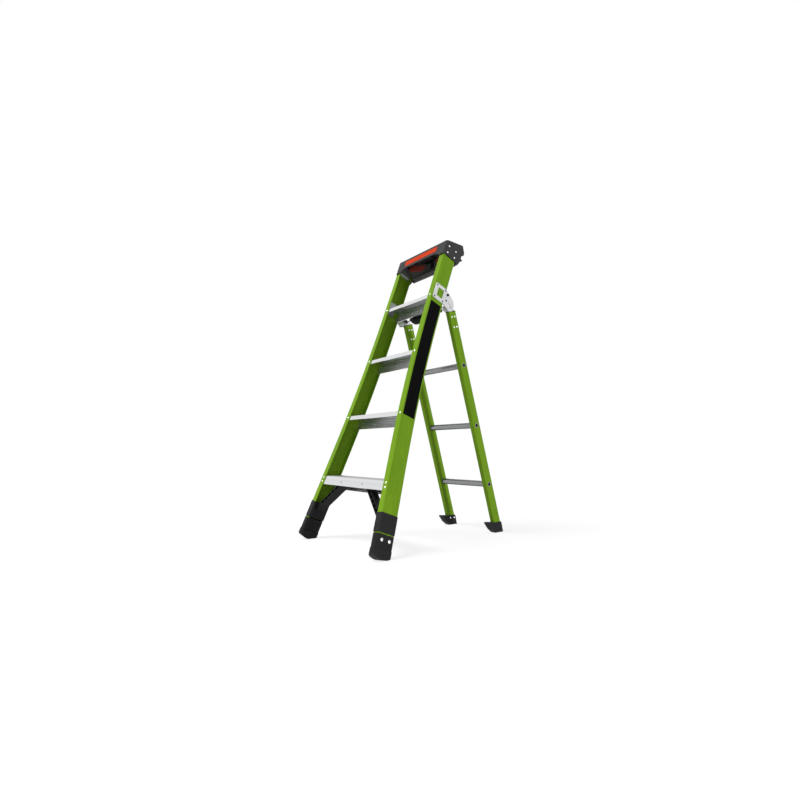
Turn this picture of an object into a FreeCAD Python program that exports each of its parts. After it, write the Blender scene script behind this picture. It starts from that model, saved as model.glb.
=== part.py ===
import FreeCAD, Part
import math
import os
from FreeCAD import Vector

# Combination ladder: a flared front section with four steps and a top cap, and a
# narrower rear section with three rungs that folds, stands open or swings up to
# make one long ladder. Millimetres.
#
# X runs across the ladder, +Y points to the rear section and +Z is up. The origin
# is on the floor at the middle of the outline. Each section is drawn upright in a
# frame of its own and then leaned over: x across, u rearward through the depth of
# the rails, s up along the rails.

# Stance
lean_front = 20.25
lean_rear = 16.4

# Front rails: channels that open inward and flare out towards the floor
rail_depth = 78.0
rail_flange = 29.0
rail_web = 4.0
rail_lip = 3.2
rail_half_width = 181.0
flare_angle = 8.3
flare_above_pivot = 20.0
flare_low_s = 430.0
rail_bottom_t = 42.0
rail_above_top_step = 295.6

# Steps
step_count = 4
step_pitch = 304.8
step_first_s = 302.0
step_wall = 2.8
tread_above_rivets = 7.6
apron_below_rivets = 12.0
bottom_apron_below_rivets = 32.0
rear_apron_below_rivets = 34.0
step_side_play = 0.2
bracket_wall = 2.0
bracket_front_drop = 20.0
bracket_rear_drop = 36.0
rear_rivet_drops = (-10.2, 20.4)

# Rivets
rivet_clearance = 0.1
step_rivet_r = 2.6
step_rivet_head_r = 4.6
step_rivet_head_h = 1.6
bottom_rivet_gap = 19.0
big_rivet_r = 4.0
big_rivet_head_r = 6.6
big_rivet_head_h = 2.4

# Front boots, sleeves and corner braces
boot_wall = 4.0
boot_inner_wall = 3.0
boot_top_t = 111.0
boot_bulge = 3.5
boot_bulge_top_t = 56.0
boot_sole_r = 78.0
boot_sole_flat = 0.5
boot_corner_r = 10.0
boot_bulge_corner_r = 18.0
boot_rivet_t = 90.0
boot_rivet_spacing = 38.0
sleeve_gap = 5.0
sleeve_height = 74.0
sleeve_wall = 2.6
sleeve_inner_wall = 3.0
brace_front_u = 18.0
brace_rear_u = 57.0
brace_thickness = 20.0
brace_web = 5.0
brace_flange = 4.0
brace_rib = 3.5
brace_rib_count = 5
brace_low_inset = 56.02
brace_low_drop = 7.5
brace_high_inset = 81.0
brace_high_drop = 16.0
brace_block_half_width = 20.0
brace_block_low_drop = 28.0
brace_block_high_drop = 3.0
brace_bolt_inset = 17.0
brace_bolt_drop = 14.0
brace_bolt_r = 3.0

# Top cap
cap_wall = 4.0
cap_end_wall = 5.0
cap_seat_gap = 0.2
cap_above_rail = 13.5
cap_front_overhang = 6.0
cap_end_drop = 62.0
cap_arch_drop = 44.0
cap_arch_slant = 32.0
cap_lip_width = 36.0
cap_end_chamfer = 7.0
cap_rear_reach = 19.5
cap_rear_drop_reach = 39.0
cap_rear_rise = 22.0
cap_rear_lip = 12.0
cap_rib_height = 12.0
cap_notch_mid_drop = 9.0
cap_notch_height = 34.0
cap_notch_floor_reach = 28.0
cap_lobe_reach = 42.0
cap_slot_gap = 3.0
cap_insert_depth = 17.0
cap_insert_drop = 57.0
cap_insert_gap = 4.0
cap_insert_chamfer = 6.0
cap_rivet_low_drop = 45.0
cap_rivet_high_drop = 9.0
cap_rivet_front_u = 18.0
cap_rivet_rear_inset = 12.0
cap_lug_wall = 8.0
cap_lug_inset = 2.0
cap_lug_gap = 3.5
stripe_half_width = 122.0
stripe_height = 30.0
decal_thickness = 0.4
decal_gap = 0.05

# Wall pad: two lobes that make a vee, on a yoke that turns about a rod under the cap
pad_lobe_gap = 27.0
pad_rear_reach = 6.0
pad_depth = 57.0
pad_height = 61.0
pad_bottom_drop = 60.0
pad_brow_height = 24.0
pad_vee_slope = 0.45
pad_lobe_corner_r = 15.0
pad_rear_corner_r = 8.0
pad_grip_depth = 3.0
pad_grip_height = 31.0
pad_grip_inner_x = 40.0
pad_axis_reach = 8.0
pad_axis_rise = 3.0
pad_rod_r = 5.0
pad_barrel_r = 10.0
pad_lug_rear_inset = 3.5
pad_yoke_height = 18.0
running_clearance = 0.06

# Hinges
pivot_reach = 48.0
pivot_below_top_step = 1.4
pivot_pin_r = 6.0
pivot_head_r = 9.0
pivot_head_h = 2.6
pivot_shoulder_r = 11.0
pivot_boss_r = 17.0
hinge_plate = 4.5
hinge_frame_front_u = 6.0
hinge_frame_drop = 10.0
hinge_frame_height = 79.0
hinge_window_front_wall = 19.0
hinge_window_rear_wall = 16.0
hinge_window_low_wall = 18.0
hinge_window_high_wall = 16.0
hinge_disc_r = 45.7
hinge_disc_inset = 27.5
hinge_disc_rise = 6.5
hinge_side_play = 0.3
hinge_gap = 0.25
hinge_corner_r = 6.0
backing_wall = 2.0
backing_front_gap = 2.0
backing_rear_gap = 25.0
hinge_screw_r = 2.5
hinge_screw_head_r = 4.2
hinge_screw_head_h = 1.2
hinge_screw_inset = 8.5
hinge_shoulder_reach = 10.0
hinge_shoulder_drop = 8.0
hinge_disc_end_reach = 12.0
hinge_tail_inset = 8.6
hinge_tail_drop = 27.5
hinge_step_inset = 13.7
hinge_step_drop = 21.0
hinge_bolt_reach = 11.0
hinge_bolt_rise = 15.0
hinge_bolt_r = 5.0
hinge_slot_inset = 3.5
hinge_slot_rise = 23.3
hinge_slot_r = 15.8
hinge_slot_width = 3.4
head_r = 20.0
arm_depth = 34.0
arm_length = 112.0
arm_side_play = 0.25
lock_radius = 13.5
lock_bearing = 225.0
lock_hole_r = 3.3
lock_hole_spare = 1.5
bumper_r = 5.5
bumper_h = 7.0
bumper_reach = 10.7
bumper_rise = 46.0
stop_bumper_r = 4.0
stop_bumper_drop = 16.0

# Release handle and lock rods under the top step
lock_rod_r = 3.0
lock_rod_inner_x = 36.0
lock_travel = 8.0
lock_guide_inset = 24.0
lock_guide_width = 10.0
lock_wall = 3.4
housing_ear_overlap = 1.5
housing_bore_end_gap = 20.0
handle_half_width = 60.0
handle_bulge = 38.0
handle_thickness = 13.0
handle_axis_inset = 32.0
handle_axis_drop = 27.0
handle_barrel_r = 6.5
handle_pin_r = 3.0
handle_ear = 6.0
handle_ear_gap = 0.5

# Rear section
rear_side_gap = 7.5
pivot_rear_u = 4.03
pivot_above_rail = 19.601
rear_depth = 46.5
rear_width = 23.5
rear_wall = 3.0
rear_rail_bottom = 18.0
plug_height = 3.6
plug_overhang = 0.6
arm_rivet_low_drop = 76.2
arm_rivet_high_drop = 25.4
arm_rivet_front_u = 14.8
arm_rivet_rear_u = 34.5
arm_rivet_r = 2.6
arm_rivet_head_r = 4.6
arm_rivet_head_h = 1.6
rung_count = 3
rung_first_s = 244.3
rung_r = 15.0
rung_wall = 2.0
rung_neck_r = 9.0
rung_neck_bore = 8.0
ferrule_r = 11.0
ferrule_h = 1.6
drain_hole_r = 2.6
drain_low_s = 87.0
drain_high_s = 105.0
drain_low_inset = 14.5
drain_high_inset = 18.5

# Rear shoes, drawn level on the floor
shoe_side_wall = 3.2
shoe_end_wall = 4.6
shoe_top_z = 51.0
shoe_sole_lead = 9.2
shoe_heel_reach = 50.8
shoe_toe_lead = 61.2
shoe_toe_z = 54.0
shoe_toe_tip = 4.0
shoe_toe_low_lead = 34.2
shoe_toe_low_z = 18.0
shoe_rivet_z = 37.0
shoe_rivet_front_reach = 0.8
shoe_rivet_spacing = 30.0

# Side label
label_length = 582.0
label_top_gap = 19.0
label_margin = 6.5

# Values worked out from the sizes above: heights
top_step_s = step_first_s + (step_count - 1) * step_pitch
rail_top_s = top_step_s + rail_above_top_step
pivot_s = top_step_s - pivot_below_top_step
flare_top_s = pivot_s + flare_above_pivot

# Flare of the front rails
flare = math.radians(flare_angle)
flare_r = (flare_top_s - flare_low_s) / math.sin(flare)
flare_end_x = rail_half_width + flare_r * (1 - math.cos(flare))
flare_foot_x = flare_end_x + flare_low_s * math.tan(flare)

# Steps
front_lean = math.radians(lean_front)
rear_lean = math.radians(lean_rear)
tread_slope = math.tan(front_lean)
step_front_u = rail_lip
step_rear_u = rail_depth - rail_lip

# Hinge axis, in the leaned front section and in the rear section
pivot_u = rail_depth + pivot_reach
pivot_y = pivot_s * math.sin(front_lean) + pivot_u * math.cos(front_lean)
pivot_z = pivot_s * math.cos(front_lean) - pivot_u * math.sin(front_lean)
rear_line_y = pivot_y + (pivot_z * math.sin(rear_lean) - pivot_rear_u) / math.cos(rear_lean)
pivot_rear_s = pivot_z * math.cos(rear_lean) - (pivot_y - rear_line_y) * math.sin(rear_lean)

# Rear section
rear_half_width = rail_half_width - rear_side_gap
rear_inner_x = rear_half_width - rear_width
rear_rail_top = pivot_rear_s - pivot_above_rail
arm_rivet_low_s = rear_rail_top - arm_rivet_low_drop
arm_rivet_high_s = rear_rail_top - arm_rivet_high_drop
shoe_rivet_front_y = rear_line_y + shoe_rivet_front_reach
shoe_rivet_rear_y = shoe_rivet_front_y + shoe_rivet_spacing

# Sleeves and corner braces
sleeve_low_t = boot_top_t + sleeve_gap
sleeve_top_t = sleeve_low_t + sleeve_height
brace_low_s = sleeve_top_t - brace_low_drop
brace_low_x = flare_foot_x - brace_low_s * math.tan(flare) - brace_low_inset
brace_high_x = rail_half_width - brace_high_inset
brace_high_s = step_first_s - brace_high_drop
brace_block_low_s = step_first_s - brace_block_low_drop
brace_block_high_s = step_first_s - brace_block_high_drop
brace_bolt_x = brace_high_x - brace_bolt_inset
brace_bolt_s = step_first_s - brace_bolt_drop

# Top cap
cap_front_u = -cap_front_overhang
cap_half_width = rail_half_width + cap_end_wall
cap_top_s = rail_top_s + cap_above_rail
cap_end_bottom_s = rail_top_s - cap_end_drop
cap_arch_s = rail_top_s - cap_arch_drop
cap_lip_half_width = cap_half_width - cap_lip_width
cap_arch_half_width = cap_lip_half_width - cap_arch_slant
cap_rear_u = rail_depth + cap_rear_reach
cap_rear_drop_u = rail_depth + cap_rear_drop_reach
cap_rear_drop_s = rail_top_s + cap_rear_rise
cap_notch_mid_s = rail_top_s - cap_notch_mid_drop
cap_notch_floor_u = rail_depth + cap_notch_floor_reach
cap_lobe_u = rail_depth + cap_lobe_reach
cap_slot_inner_x = rear_inner_x - cap_slot_gap
cap_slot_outer_x = rear_half_width + cap_slot_gap
cap_insert_x = rail_half_width - rail_web - cap_insert_depth
cap_insert_bottom_s = rail_top_s - cap_insert_drop
cap_rivet_low_s = rail_top_s - cap_rivet_low_drop
cap_rivet_high_s = rail_top_s - cap_rivet_high_drop
cap_rivet_rear_u = rail_depth - cap_rivet_rear_inset
cap_lug_outer_x = cap_slot_inner_x - cap_lug_inset
cap_lug_inner_x = cap_lug_outer_x - cap_lug_wall

# Wall pad
pad_half_span = cap_lug_inner_x - cap_lug_gap
pad_rear_u = rail_depth + pad_rear_reach
pad_front_u = pad_rear_u - pad_depth
pad_bottom_s = rail_top_s - pad_bottom_drop
pad_top_s = pad_bottom_s + pad_height
pad_brow_s = pad_bottom_s + pad_brow_height
pad_grip_top_s = pad_brow_s + pad_grip_height
pad_axis_u = pad_rear_u + pad_axis_reach
pad_axis_s = pad_bottom_s + pad_axis_rise
pad_lug_rear_u = pad_axis_u - pad_lug_rear_inset

# Hinges
hinge_inner_x = rail_half_width + hinge_gap
hinge_outer_x = hinge_inner_x + hinge_plate
fixed_disc_x = rear_half_width + hinge_side_play
hinge_frame_low_s = pivot_s - hinge_frame_drop
hinge_frame_high_s = hinge_frame_low_s + hinge_frame_height
hinge_window_front_u = hinge_frame_front_u + hinge_window_front_wall
hinge_window_rear_u = rail_depth - hinge_window_rear_wall
hinge_window_low_s = hinge_frame_low_s + hinge_window_low_wall
hinge_window_high_s = hinge_frame_high_s - hinge_window_high_wall
hinge_disc_u = pivot_u - hinge_disc_inset
hinge_disc_s = pivot_s + hinge_disc_rise
hinge_disc_end_u = pivot_u + hinge_disc_end_reach
hinge_shoulder_u = rail_depth + hinge_shoulder_reach
hinge_shoulder_s = hinge_frame_high_s - hinge_shoulder_drop
hinge_tail_u = pivot_u - hinge_tail_inset
hinge_tail_s = pivot_s - hinge_tail_drop
hinge_step_u = pivot_u - hinge_step_inset
hinge_step_s = pivot_s - hinge_step_drop
hinge_bolt_u = rail_depth + hinge_bolt_reach
hinge_bolt_s = pivot_s + hinge_bolt_rise
hinge_slot_u = pivot_u - hinge_slot_inset
hinge_slot_s = pivot_s + hinge_slot_rise
backing_front_u = hinge_frame_front_u + backing_front_gap
backing_rear_u = rail_depth - backing_rear_gap
bumper_u = rail_depth + bumper_reach
bumper_s = pivot_s + bumper_rise

# Release handle and lock rods
lock_guide_x = rear_inner_x - lock_guide_inset
lock_hole_depth = lock_travel + lock_hole_spare
housing_half_width = handle_half_width + handle_ear_gap + housing_ear_overlap
housing_bore_x = lock_rod_inner_x - housing_bore_end_gap
handle_axis_u = pivot_u - handle_axis_inset
handle_axis_s = pivot_s - handle_axis_drop

# Side label
label_rear_u = rail_depth - label_margin
label_high_s = hinge_frame_low_s - label_top_gap
label_low_s = label_high_s - label_length


# Helpers

def box(x0, x1, u0, u1, s0, s1):
    return Part.makeBox(x1 - x0, u1 - u0, s1 - s0, Vector(x0, u0, s0))


def cylinder_x(radius, x0, x1, u, s):
    return Part.makeCylinder(radius, x1 - x0, Vector(x0, u, s), Vector(1, 0, 0))


def cylinder_u(radius, x, u0, u1, s):
    return Part.makeCylinder(radius, u1 - u0, Vector(x, u0, s), Vector(0, 1, 0))


def prism_x(points, x0, x1):
    """Polygon of (u, s) points, drawn from x0 to x1."""
    corners = [Vector(x0, u, s) for u, s in points]
    wire = Part.makePolygon(corners + [corners[0]])
    return Part.Face(wire).extrude(Vector(x1 - x0, 0, 0))


def prism_u(points, u0, u1):
    """Polygon of (x, s) points, drawn from u0 to u1."""
    corners = [Vector(x, u0, s) for x, s in points]
    wire = Part.makePolygon(corners + [corners[0]])
    return Part.Face(wire).extrude(Vector(0, u1 - u0, 0))


def mirrored(shape):
    return shape.mirror(Vector(0, 0, 0), Vector(1, 0, 0))


def joined(shapes):
    whole = shapes[0]
    for shape in shapes[1:]:
        whole = whole.fuse(shape)
    return whole.removeSplitter()


def edges_along(shape, direction, tolerance=0.001):
    """Straight edges of a shape that run along a direction."""
    found = []
    for edge in shape.Edges:
        if edge.Curve.TypeId != "Part::GeomLine":
            continue
        if edge.tangentAt(edge.FirstParameter).cross(direction).Length < tolerance:
            found.append(edge)
    return found


def rivet_x(x, u, s, towards, shank_r, shank_length, head_r, head_h):
    """Domed rivet whose head stands on a face square to X; towards is 1 or -1."""
    dome_r = (head_r ** 2 + head_h ** 2) / (2 * head_h)
    half_angle = math.asin(head_r / dome_r) / 2

    def at(along, radius):
        return Vector(x + towards * along, u, s + radius)
    rim = at(0, head_r)
    crown = at(head_h, 0)
    middle = at(head_h - dome_r + dome_r * math.cos(half_angle), dome_r * math.sin(half_angle))
    edges = [Part.Arc(rim, middle, crown).toShape(),
             Part.makeLine(crown, at(-shank_length, 0)),
             Part.makeLine(at(-shank_length, 0), at(-shank_length, shank_r)),
             Part.makeLine(at(-shank_length, shank_r), at(0, shank_r)),
             Part.makeLine(at(0, shank_r), rim)]
    face = Part.Face(Part.Wire(Part.__sortEdges__(edges)))
    return face.revolve(Vector(x, u, s), Vector(1, 0, 0), 360)


def rivet_u(x, u, s, towards, shank_r, shank_length, head_r, head_h):
    """Domed rivet whose head stands on a face square to u."""
    turned = rivet_x(0, 0, 0, towards, shank_r, shank_length, head_r, head_h)
    turned.rotate(Vector(0, 0, 0), Vector(0, 0, 1), 90)
    turned.translate(Vector(x, u, s))
    return turned


# Curve of the front rails

def web_x(s):
    """Half width over the outer faces of the front rails at a height s."""
    if s >= flare_top_s:
        return rail_half_width
    if s >= flare_low_s:
        return rail_half_width + flare_r - math.sqrt(flare_r ** 2 - (flare_top_s - s) ** 2)
    return flare_foot_x - s * math.tan(flare)


def foot_point(inset, t):
    """Point of the flared leg, inset from the web's outer face, t up along the leg."""
    return (flare_foot_x - t * math.sin(flare) - inset * math.cos(flare),
            t * math.cos(flare) - inset * math.sin(flare))


def arc_point(inset, angle):
    return (rail_half_width + flare_r - (flare_r + inset) * math.cos(angle),
            flare_top_s - (flare_r + inset) * math.sin(angle))


def rail_curve(inset, u, t0, s1):
    """Edges from the top of the rail down to its foot, at one inset."""
    def at(pair):
        return Vector(pair[0], u, pair[1])
    top = at((rail_half_width - inset, s1))
    arc_top = at(arc_point(inset, 0))
    arc_mid = at(arc_point(inset, flare / 2))
    arc_low = at(arc_point(inset, flare))
    foot = at(foot_point(inset, t0))
    edges = [Part.makeLine(top, arc_top),
             Part.Arc(arc_top, arc_mid, arc_low).toShape(),
             Part.makeLine(arc_low, foot)]
    return edges, top, foot


def rail_strip(inset_out, inset_in, u0, u1, t0, s1):
    """Solid strip that follows the right rail between two insets."""
    outer, outer_top, outer_foot = rail_curve(inset_out, u0, t0, s1)
    inner, inner_top, inner_foot = rail_curve(inset_in, u0, t0, s1)
    loop = outer + [Part.makeLine(outer_foot, inner_foot)] + inner
    loop.append(Part.makeLine(inner_top, outer_top))
    wire = Part.Wire(Part.__sortEdges__(loop))
    return Part.Face(wire).extrude(Vector(0, u1 - u0, 0))


def between_rails(inset, u0, u1, t0, s1):
    """Space between the two rails, up to an inset from their outer faces."""
    curve, top, foot = rail_curve(inset, u0, t0, s1)
    low = Vector(0, u0, foot.z)
    high = Vector(0, u0, top.z)
    loop = curve + [Part.makeLine(foot, low), Part.makeLine(low, high), Part.makeLine(high, top)]
    half = Part.Face(Part.Wire(Part.__sortEdges__(loop))).extrude(Vector(0, u1 - u0, 0))
    return half.fuse(mirrored(half)).removeSplitter()


def on_leg(shape):
    """Move a shape drawn on an upright leg, outer web face at x = 0, to the flared leg."""
    moved = shape.copy()
    moved.rotate(Vector(0, 0, 0), Vector(0, 1, 0), -flare_angle)
    moved.translate(Vector(flare_foot_x, 0, 0))
    return moved


# Leaning the sections

def lean_front_section(shape):
    moved = shape.copy()
    moved.rotate(Vector(0, 0, 0), Vector(1, 0, 0), -lean_front)
    return moved


def lean_rear_section(shape):
    moved = shape.copy()
    moved.rotate(Vector(0, 0, 0), Vector(1, 0, 0), lean_rear)
    moved.translate(Vector(0, rear_line_y, 0))
    return moved


# Front rails

def step_rivet_places():
    """(x, s) of the rivets through the front flange of the right rail."""
    places = []
    for index in range(step_count):
        s = step_first_s + index * step_pitch
        places.append((web_x(s) - rail_flange / 2, s))
    low_s = step_first_s - bottom_rivet_gap
    places.append((web_x(low_s) - rail_flange / 2, low_s))
    return places


def rear_step_rivet_places():
    """(x, s) of the rivets through the rear flange of the right rail."""
    places = []
    for index in range(step_count):
        for drop in rear_rivet_drops:
            s = step_first_s + index * step_pitch - drop
            places.append((web_x(s) - rail_flange / 2, s))
    return places


def boot_rivet_places():
    middle = rail_depth / 2
    half = boot_rivet_spacing / 2
    return [(middle - half, boot_rivet_t), (middle + half, boot_rivet_t)]


def cap_rivet_places():
    return [(u, s) for u in (cap_rivet_front_u, cap_rivet_rear_u)
            for s in (cap_rivet_low_s, cap_rivet_high_s)]


def hinge_screw_places():
    front = hinge_frame_front_u + hinge_screw_inset
    rear = rail_depth - hinge_screw_inset
    low = hinge_frame_low_s + hinge_screw_inset
    high = hinge_frame_high_s - hinge_screw_inset
    return [(front, low), (rear, low), (front, high), (rear, high)]


def front_rail():
    web = rail_strip(0, rail_web, 0, rail_depth, rail_bottom_t, rail_top_s)
    front_flange = rail_strip(0, rail_flange, 0, rail_lip, rail_bottom_t, rail_top_s)
    rear_flange = rail_strip(0, rail_flange, rail_depth - rail_lip, rail_depth,
                             rail_bottom_t, rail_top_s)
    rail = joined([web, front_flange, rear_flange])
    hole_r = step_rivet_r + rivet_clearance
    for x, s in step_rivet_places():
        rail = rail.cut(cylinder_u(hole_r, x, -1, rail_lip + 1, s))
    for x, s in rear_step_rivet_places():
        rail = rail.cut(cylinder_u(hole_r, x, rail_depth - rail_lip - 1, rail_depth + 1, s))
    for u, t in boot_rivet_places():
        rail = rail.cut(on_leg(cylinder_x(big_rivet_r + rivet_clearance, -rail_web - 1, 1, u, t)))
    for u, s in cap_rivet_places():
        rail = rail.cut(cylinder_x(step_rivet_r + rivet_clearance, rail_half_width - rail_web - 1,
                                   rail_half_width + 1, u, s))
    for u, s in hinge_screw_places():
        rail = rail.cut(cylinder_x(hinge_screw_r + rivet_clearance,
                                   rail_half_width - rail_web - 1, rail_half_width + 1, u, s))
    return rail


# Steps

def step(index):
    s = step_first_s + index * step_pitch
    is_top = index == step_count - 1
    front_drop = bottom_apron_below_rivets if index == 0 else apron_below_rivets
    top_front = s + tread_above_rivets
    plate = step_wall / math.cos(front_lean)

    def tread_at(u):
        return top_front + (u - step_front_u) * tread_slope
    inner_front = step_front_u + step_wall
    inner_rear = step_rear_u - step_wall
    profile = [(step_front_u, tread_at(step_front_u)),
               (step_rear_u, tread_at(step_rear_u)),
               (step_rear_u, s - rear_apron_below_rivets),
               (inner_rear, s - rear_apron_below_rivets),
               (inner_rear, tread_at(inner_rear) - plate),
               (inner_front, tread_at(inner_front) - plate),
               (inner_front, s - front_drop),
               (step_front_u, s - front_drop)]
    channel = prism_x(profile, -flare_foot_x, flare_foot_x)
    side = rail_web + step_side_play + (backing_wall if is_top else 0)
    shape = channel.common(between_rails(side, 0, rail_depth, rail_bottom_t, rail_top_s))
    hole_r = step_rivet_r + rivet_clearance
    for places, u0, u1 in ((step_rivet_places(), 0, inner_front + 1),
                           (rear_step_rivet_places(), inner_rear - 1, rail_depth)):
        for x, rivet_s in places:
            if abs(rivet_s - s) < step_pitch / 2:
                shape = shape.cut(cylinder_u(hole_r, x, u0, u1, rivet_s))
                shape = shape.cut(cylinder_u(hole_r, -x, u0, u1, rivet_s))
    if index == 0:
        bolt_hole = cylinder_u(brace_bolt_r + rivet_clearance, brace_bolt_x, 0,
                               inner_front + 1, brace_bolt_s)
        shape = shape.cut(bolt_hole).cut(mirrored(bolt_hole))
    if is_top:
        for x, rivet_s in release_rivet_places():
            shape = shape.cut(cylinder_u(hole_r, x, inner_rear - 1, rail_depth, rivet_s))
    return shape


def step_end_brackets():
    """Gusset plates against the webs that close the ends of each step from below."""
    plates = []
    plate = step_wall / math.cos(front_lean)
    for index in range(step_count):
        s = step_first_s + index * step_pitch
        inner_front = step_front_u + step_wall
        inner_rear = step_rear_u - step_wall
        under_front = s + tread_above_rivets + (inner_front - step_front_u) * tread_slope - plate
        under_rear = s + tread_above_rivets + (inner_rear - step_front_u) * tread_slope - plate
        if index == step_count - 1:
            under_front = min(under_front, hinge_frame_low_s)
            under_rear = min(under_rear, hinge_frame_low_s)
        outline = [(inner_front, under_front), (inner_rear, under_rear),
                   (inner_rear, s - bracket_rear_drop), (inner_front, s - bracket_front_drop)]
        slab = prism_x(outline, 0, flare_foot_x)
        web_layer = rail_strip(rail_web, rail_web + bracket_wall, 0, rail_depth,
                               rail_bottom_t, rail_top_s)
        right = slab.common(web_layer)
        plates.extend([right, mirrored(right)])
    return Part.makeCompound(plates)


def step_rivets():
    rivets = []
    length = rail_lip + step_wall
    for x, s in step_rivet_places():
        rivets.append(rivet_u(x, 0, s, -1, step_rivet_r, length,
                              step_rivet_head_r, step_rivet_head_h))
    for x, s in rear_step_rivet_places():
        rivets.append(rivet_u(x, rail_depth, s, 1, step_rivet_r, length,
                              step_rivet_head_r, step_rivet_head_h))
    return Part.makeCompound(rivets + [mirrored(rivet) for rivet in rivets])


# Front boots

def front_boot():
    inner_x = -rail_flange - boot_inner_wall
    upper = box(inner_x, boot_wall, -boot_wall, rail_depth + boot_wall, 0, boot_top_t)
    lower = box(inner_x - boot_bulge, boot_wall + boot_bulge, -boot_wall - boot_bulge,
                rail_depth + boot_wall + boot_bulge, 0, boot_bulge_top_t)
    upper = upper.makeFillet(boot_corner_r, edges_along(upper, Vector(0, 0, 1)))
    lower = lower.makeFillet(boot_bulge_corner_r, edges_along(lower, Vector(0, 0, 1)))
    block = upper.fuse(lower)
    middle = rail_depth / 2
    sole_s = (boot_sole_r - boot_sole_flat + middle * math.sin(front_lean)) / math.cos(front_lean)
    rocker = Part.makeCylinder(boot_sole_r, 4 * rail_flange,
                               Vector(-3 * rail_flange, middle, sole_s), Vector(1, 0, 0))
    above = box(-3 * rail_flange, rail_flange, -rail_depth, 2 * rail_depth, sole_s, 2 * boot_top_t)
    block = block.common(rocker.fuse(above))
    placed = on_leg(block).cut(rail_envelope(rail_bottom_t))
    for u, t in boot_rivet_places():
        hole = cylinder_x(big_rivet_r + rivet_clearance, -1, boot_wall + 1, u, t)
        placed = placed.cut(on_leg(hole))
    standing = lean_front_section(placed)
    floor = Part.makeBox(8 * rail_flange, 4 * rail_depth, rail_depth,
                         Vector(flare_foot_x - 4 * rail_flange, -2 * rail_depth, -rail_depth))
    return standing.cut(floor)


def rail_envelope(t0):
    """The right rail without its holes, as a tool that cuts its seat in boots and sleeves."""
    web = rail_strip(0, rail_web, 0, rail_depth, t0, flare_top_s + step_pitch)
    front_flange = rail_strip(0, rail_flange, 0, rail_lip, t0, flare_top_s + step_pitch)
    rear_flange = rail_strip(0, rail_flange, rail_depth - rail_lip, rail_depth, t0,
                             flare_top_s + step_pitch)
    return joined([web, front_flange, rear_flange])


def front_boot_rivets():
    rivets = []
    for u, t in boot_rivet_places():
        rivet = on_leg(rivet_x(boot_wall, u, t, 1, big_rivet_r, boot_wall + rail_web,
                               big_rivet_head_r, big_rivet_head_h))
        rivets.extend([rivet, mirrored(rivet)])
    return Part.makeCompound(rivets)


# Sleeves with corner braces

def corner_brace():
    inner_x = -rail_flange - sleeve_inner_wall
    sleeve = box(inner_x, sleeve_wall, -sleeve_wall, rail_depth + sleeve_wall,
                 sleeve_low_t, sleeve_top_t)
    sleeve = sleeve.makeFillet(sleeve_wall, edges_along(sleeve, Vector(0, 0, 1)))
    core = box(-rail_flange, -rail_web, rail_lip, rail_depth - rail_lip,
               sleeve_low_t + sleeve_wall, sleeve_top_t - sleeve_wall)
    sleeve = on_leg(sleeve.cut(core)).cut(rail_envelope(0))
    length = math.hypot(brace_low_x - brace_high_x, brace_high_s - brace_low_s)
    angle = math.degrees(math.atan2(brace_high_s - brace_low_s, brace_low_x - brace_high_x))
    half = brace_thickness / 2
    beam = box(-length, 2 * brace_thickness, brace_front_u, brace_rear_u, -half, half)
    inset = brace_flange
    for u0, u1 in ((brace_front_u - 1, (brace_front_u + brace_rear_u - brace_web) / 2),
                   ((brace_front_u + brace_rear_u + brace_web) / 2, brace_rear_u + 1)):
        beam = beam.cut(box(-length + inset, -inset, u0, u1, -half + inset, half - inset))
    for number in range(brace_rib_count):
        x = -length * (number + 1) / (brace_rib_count + 1)
        beam = beam.fuse(box(x - brace_rib / 2, x + brace_rib / 2, brace_front_u,
                             brace_rear_u, -half, half))
    beam.rotate(Vector(0, 0, 0), Vector(0, 1, 0), angle)
    beam.translate(Vector(brace_low_x, 0, brace_low_s))
    room = between_rails(rail_flange + sleeve_inner_wall / 2, -rail_depth, 2 * rail_depth,
                         0, rail_top_s)
    below = box(-flare_foot_x, flare_foot_x, -rail_depth, 2 * rail_depth, 0, brace_block_high_s)
    beam = beam.common(room).common(below)
    block = box(brace_high_x - brace_block_half_width, brace_high_x + brace_block_half_width,
                step_front_u + step_wall, brace_rear_u, brace_block_low_s, brace_block_high_s)
    whole_brace = joined([sleeve, beam, block])
    return whole_brace.cut(cylinder_u(brace_bolt_r + rivet_clearance, brace_bolt_x, 0,
                                      brace_front_u + 1, brace_bolt_s))


def brace_bolts():
    """Bolts through the bottom step's front apron into the upper ends of the braces."""
    length = brace_front_u - step_front_u
    bolt = rivet_u(brace_bolt_x, step_front_u, brace_bolt_s, -1, brace_bolt_r, length,
                   step_rivet_head_r, step_rivet_head_h)
    return Part.makeCompound([bolt, mirrored(bolt)])


# Top cap

def cap_top_at(u):
    return cap_top_s + (u - cap_front_u) * tread_slope


def cap_cheek_outline():
    half_notch = cap_notch_height / 2
    slant = cap_lobe_u - cap_notch_floor_u
    return [(cap_front_u, cap_end_bottom_s), (cap_front_u, cap_top_s),
            (cap_rear_u, cap_top_at(cap_rear_u)),
            (cap_rear_drop_u, cap_rear_drop_s),
            (cap_lobe_u, cap_notch_mid_s + half_notch),
            (cap_notch_floor_u, cap_notch_mid_s + half_notch - slant),
            (cap_notch_floor_u, cap_notch_mid_s - half_notch + slant / 3),
            (cap_lobe_u, cap_notch_mid_s - half_notch),
            (cap_notch_floor_u, cap_insert_bottom_s + 2 * cap_lug_wall),
            (cap_rear_u, cap_insert_bottom_s - 2 * cap_wall),
            (rail_depth + cap_wall, cap_end_bottom_s - 6 * cap_wall),
            (rail_depth + cap_wall, cap_end_bottom_s)]


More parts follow.
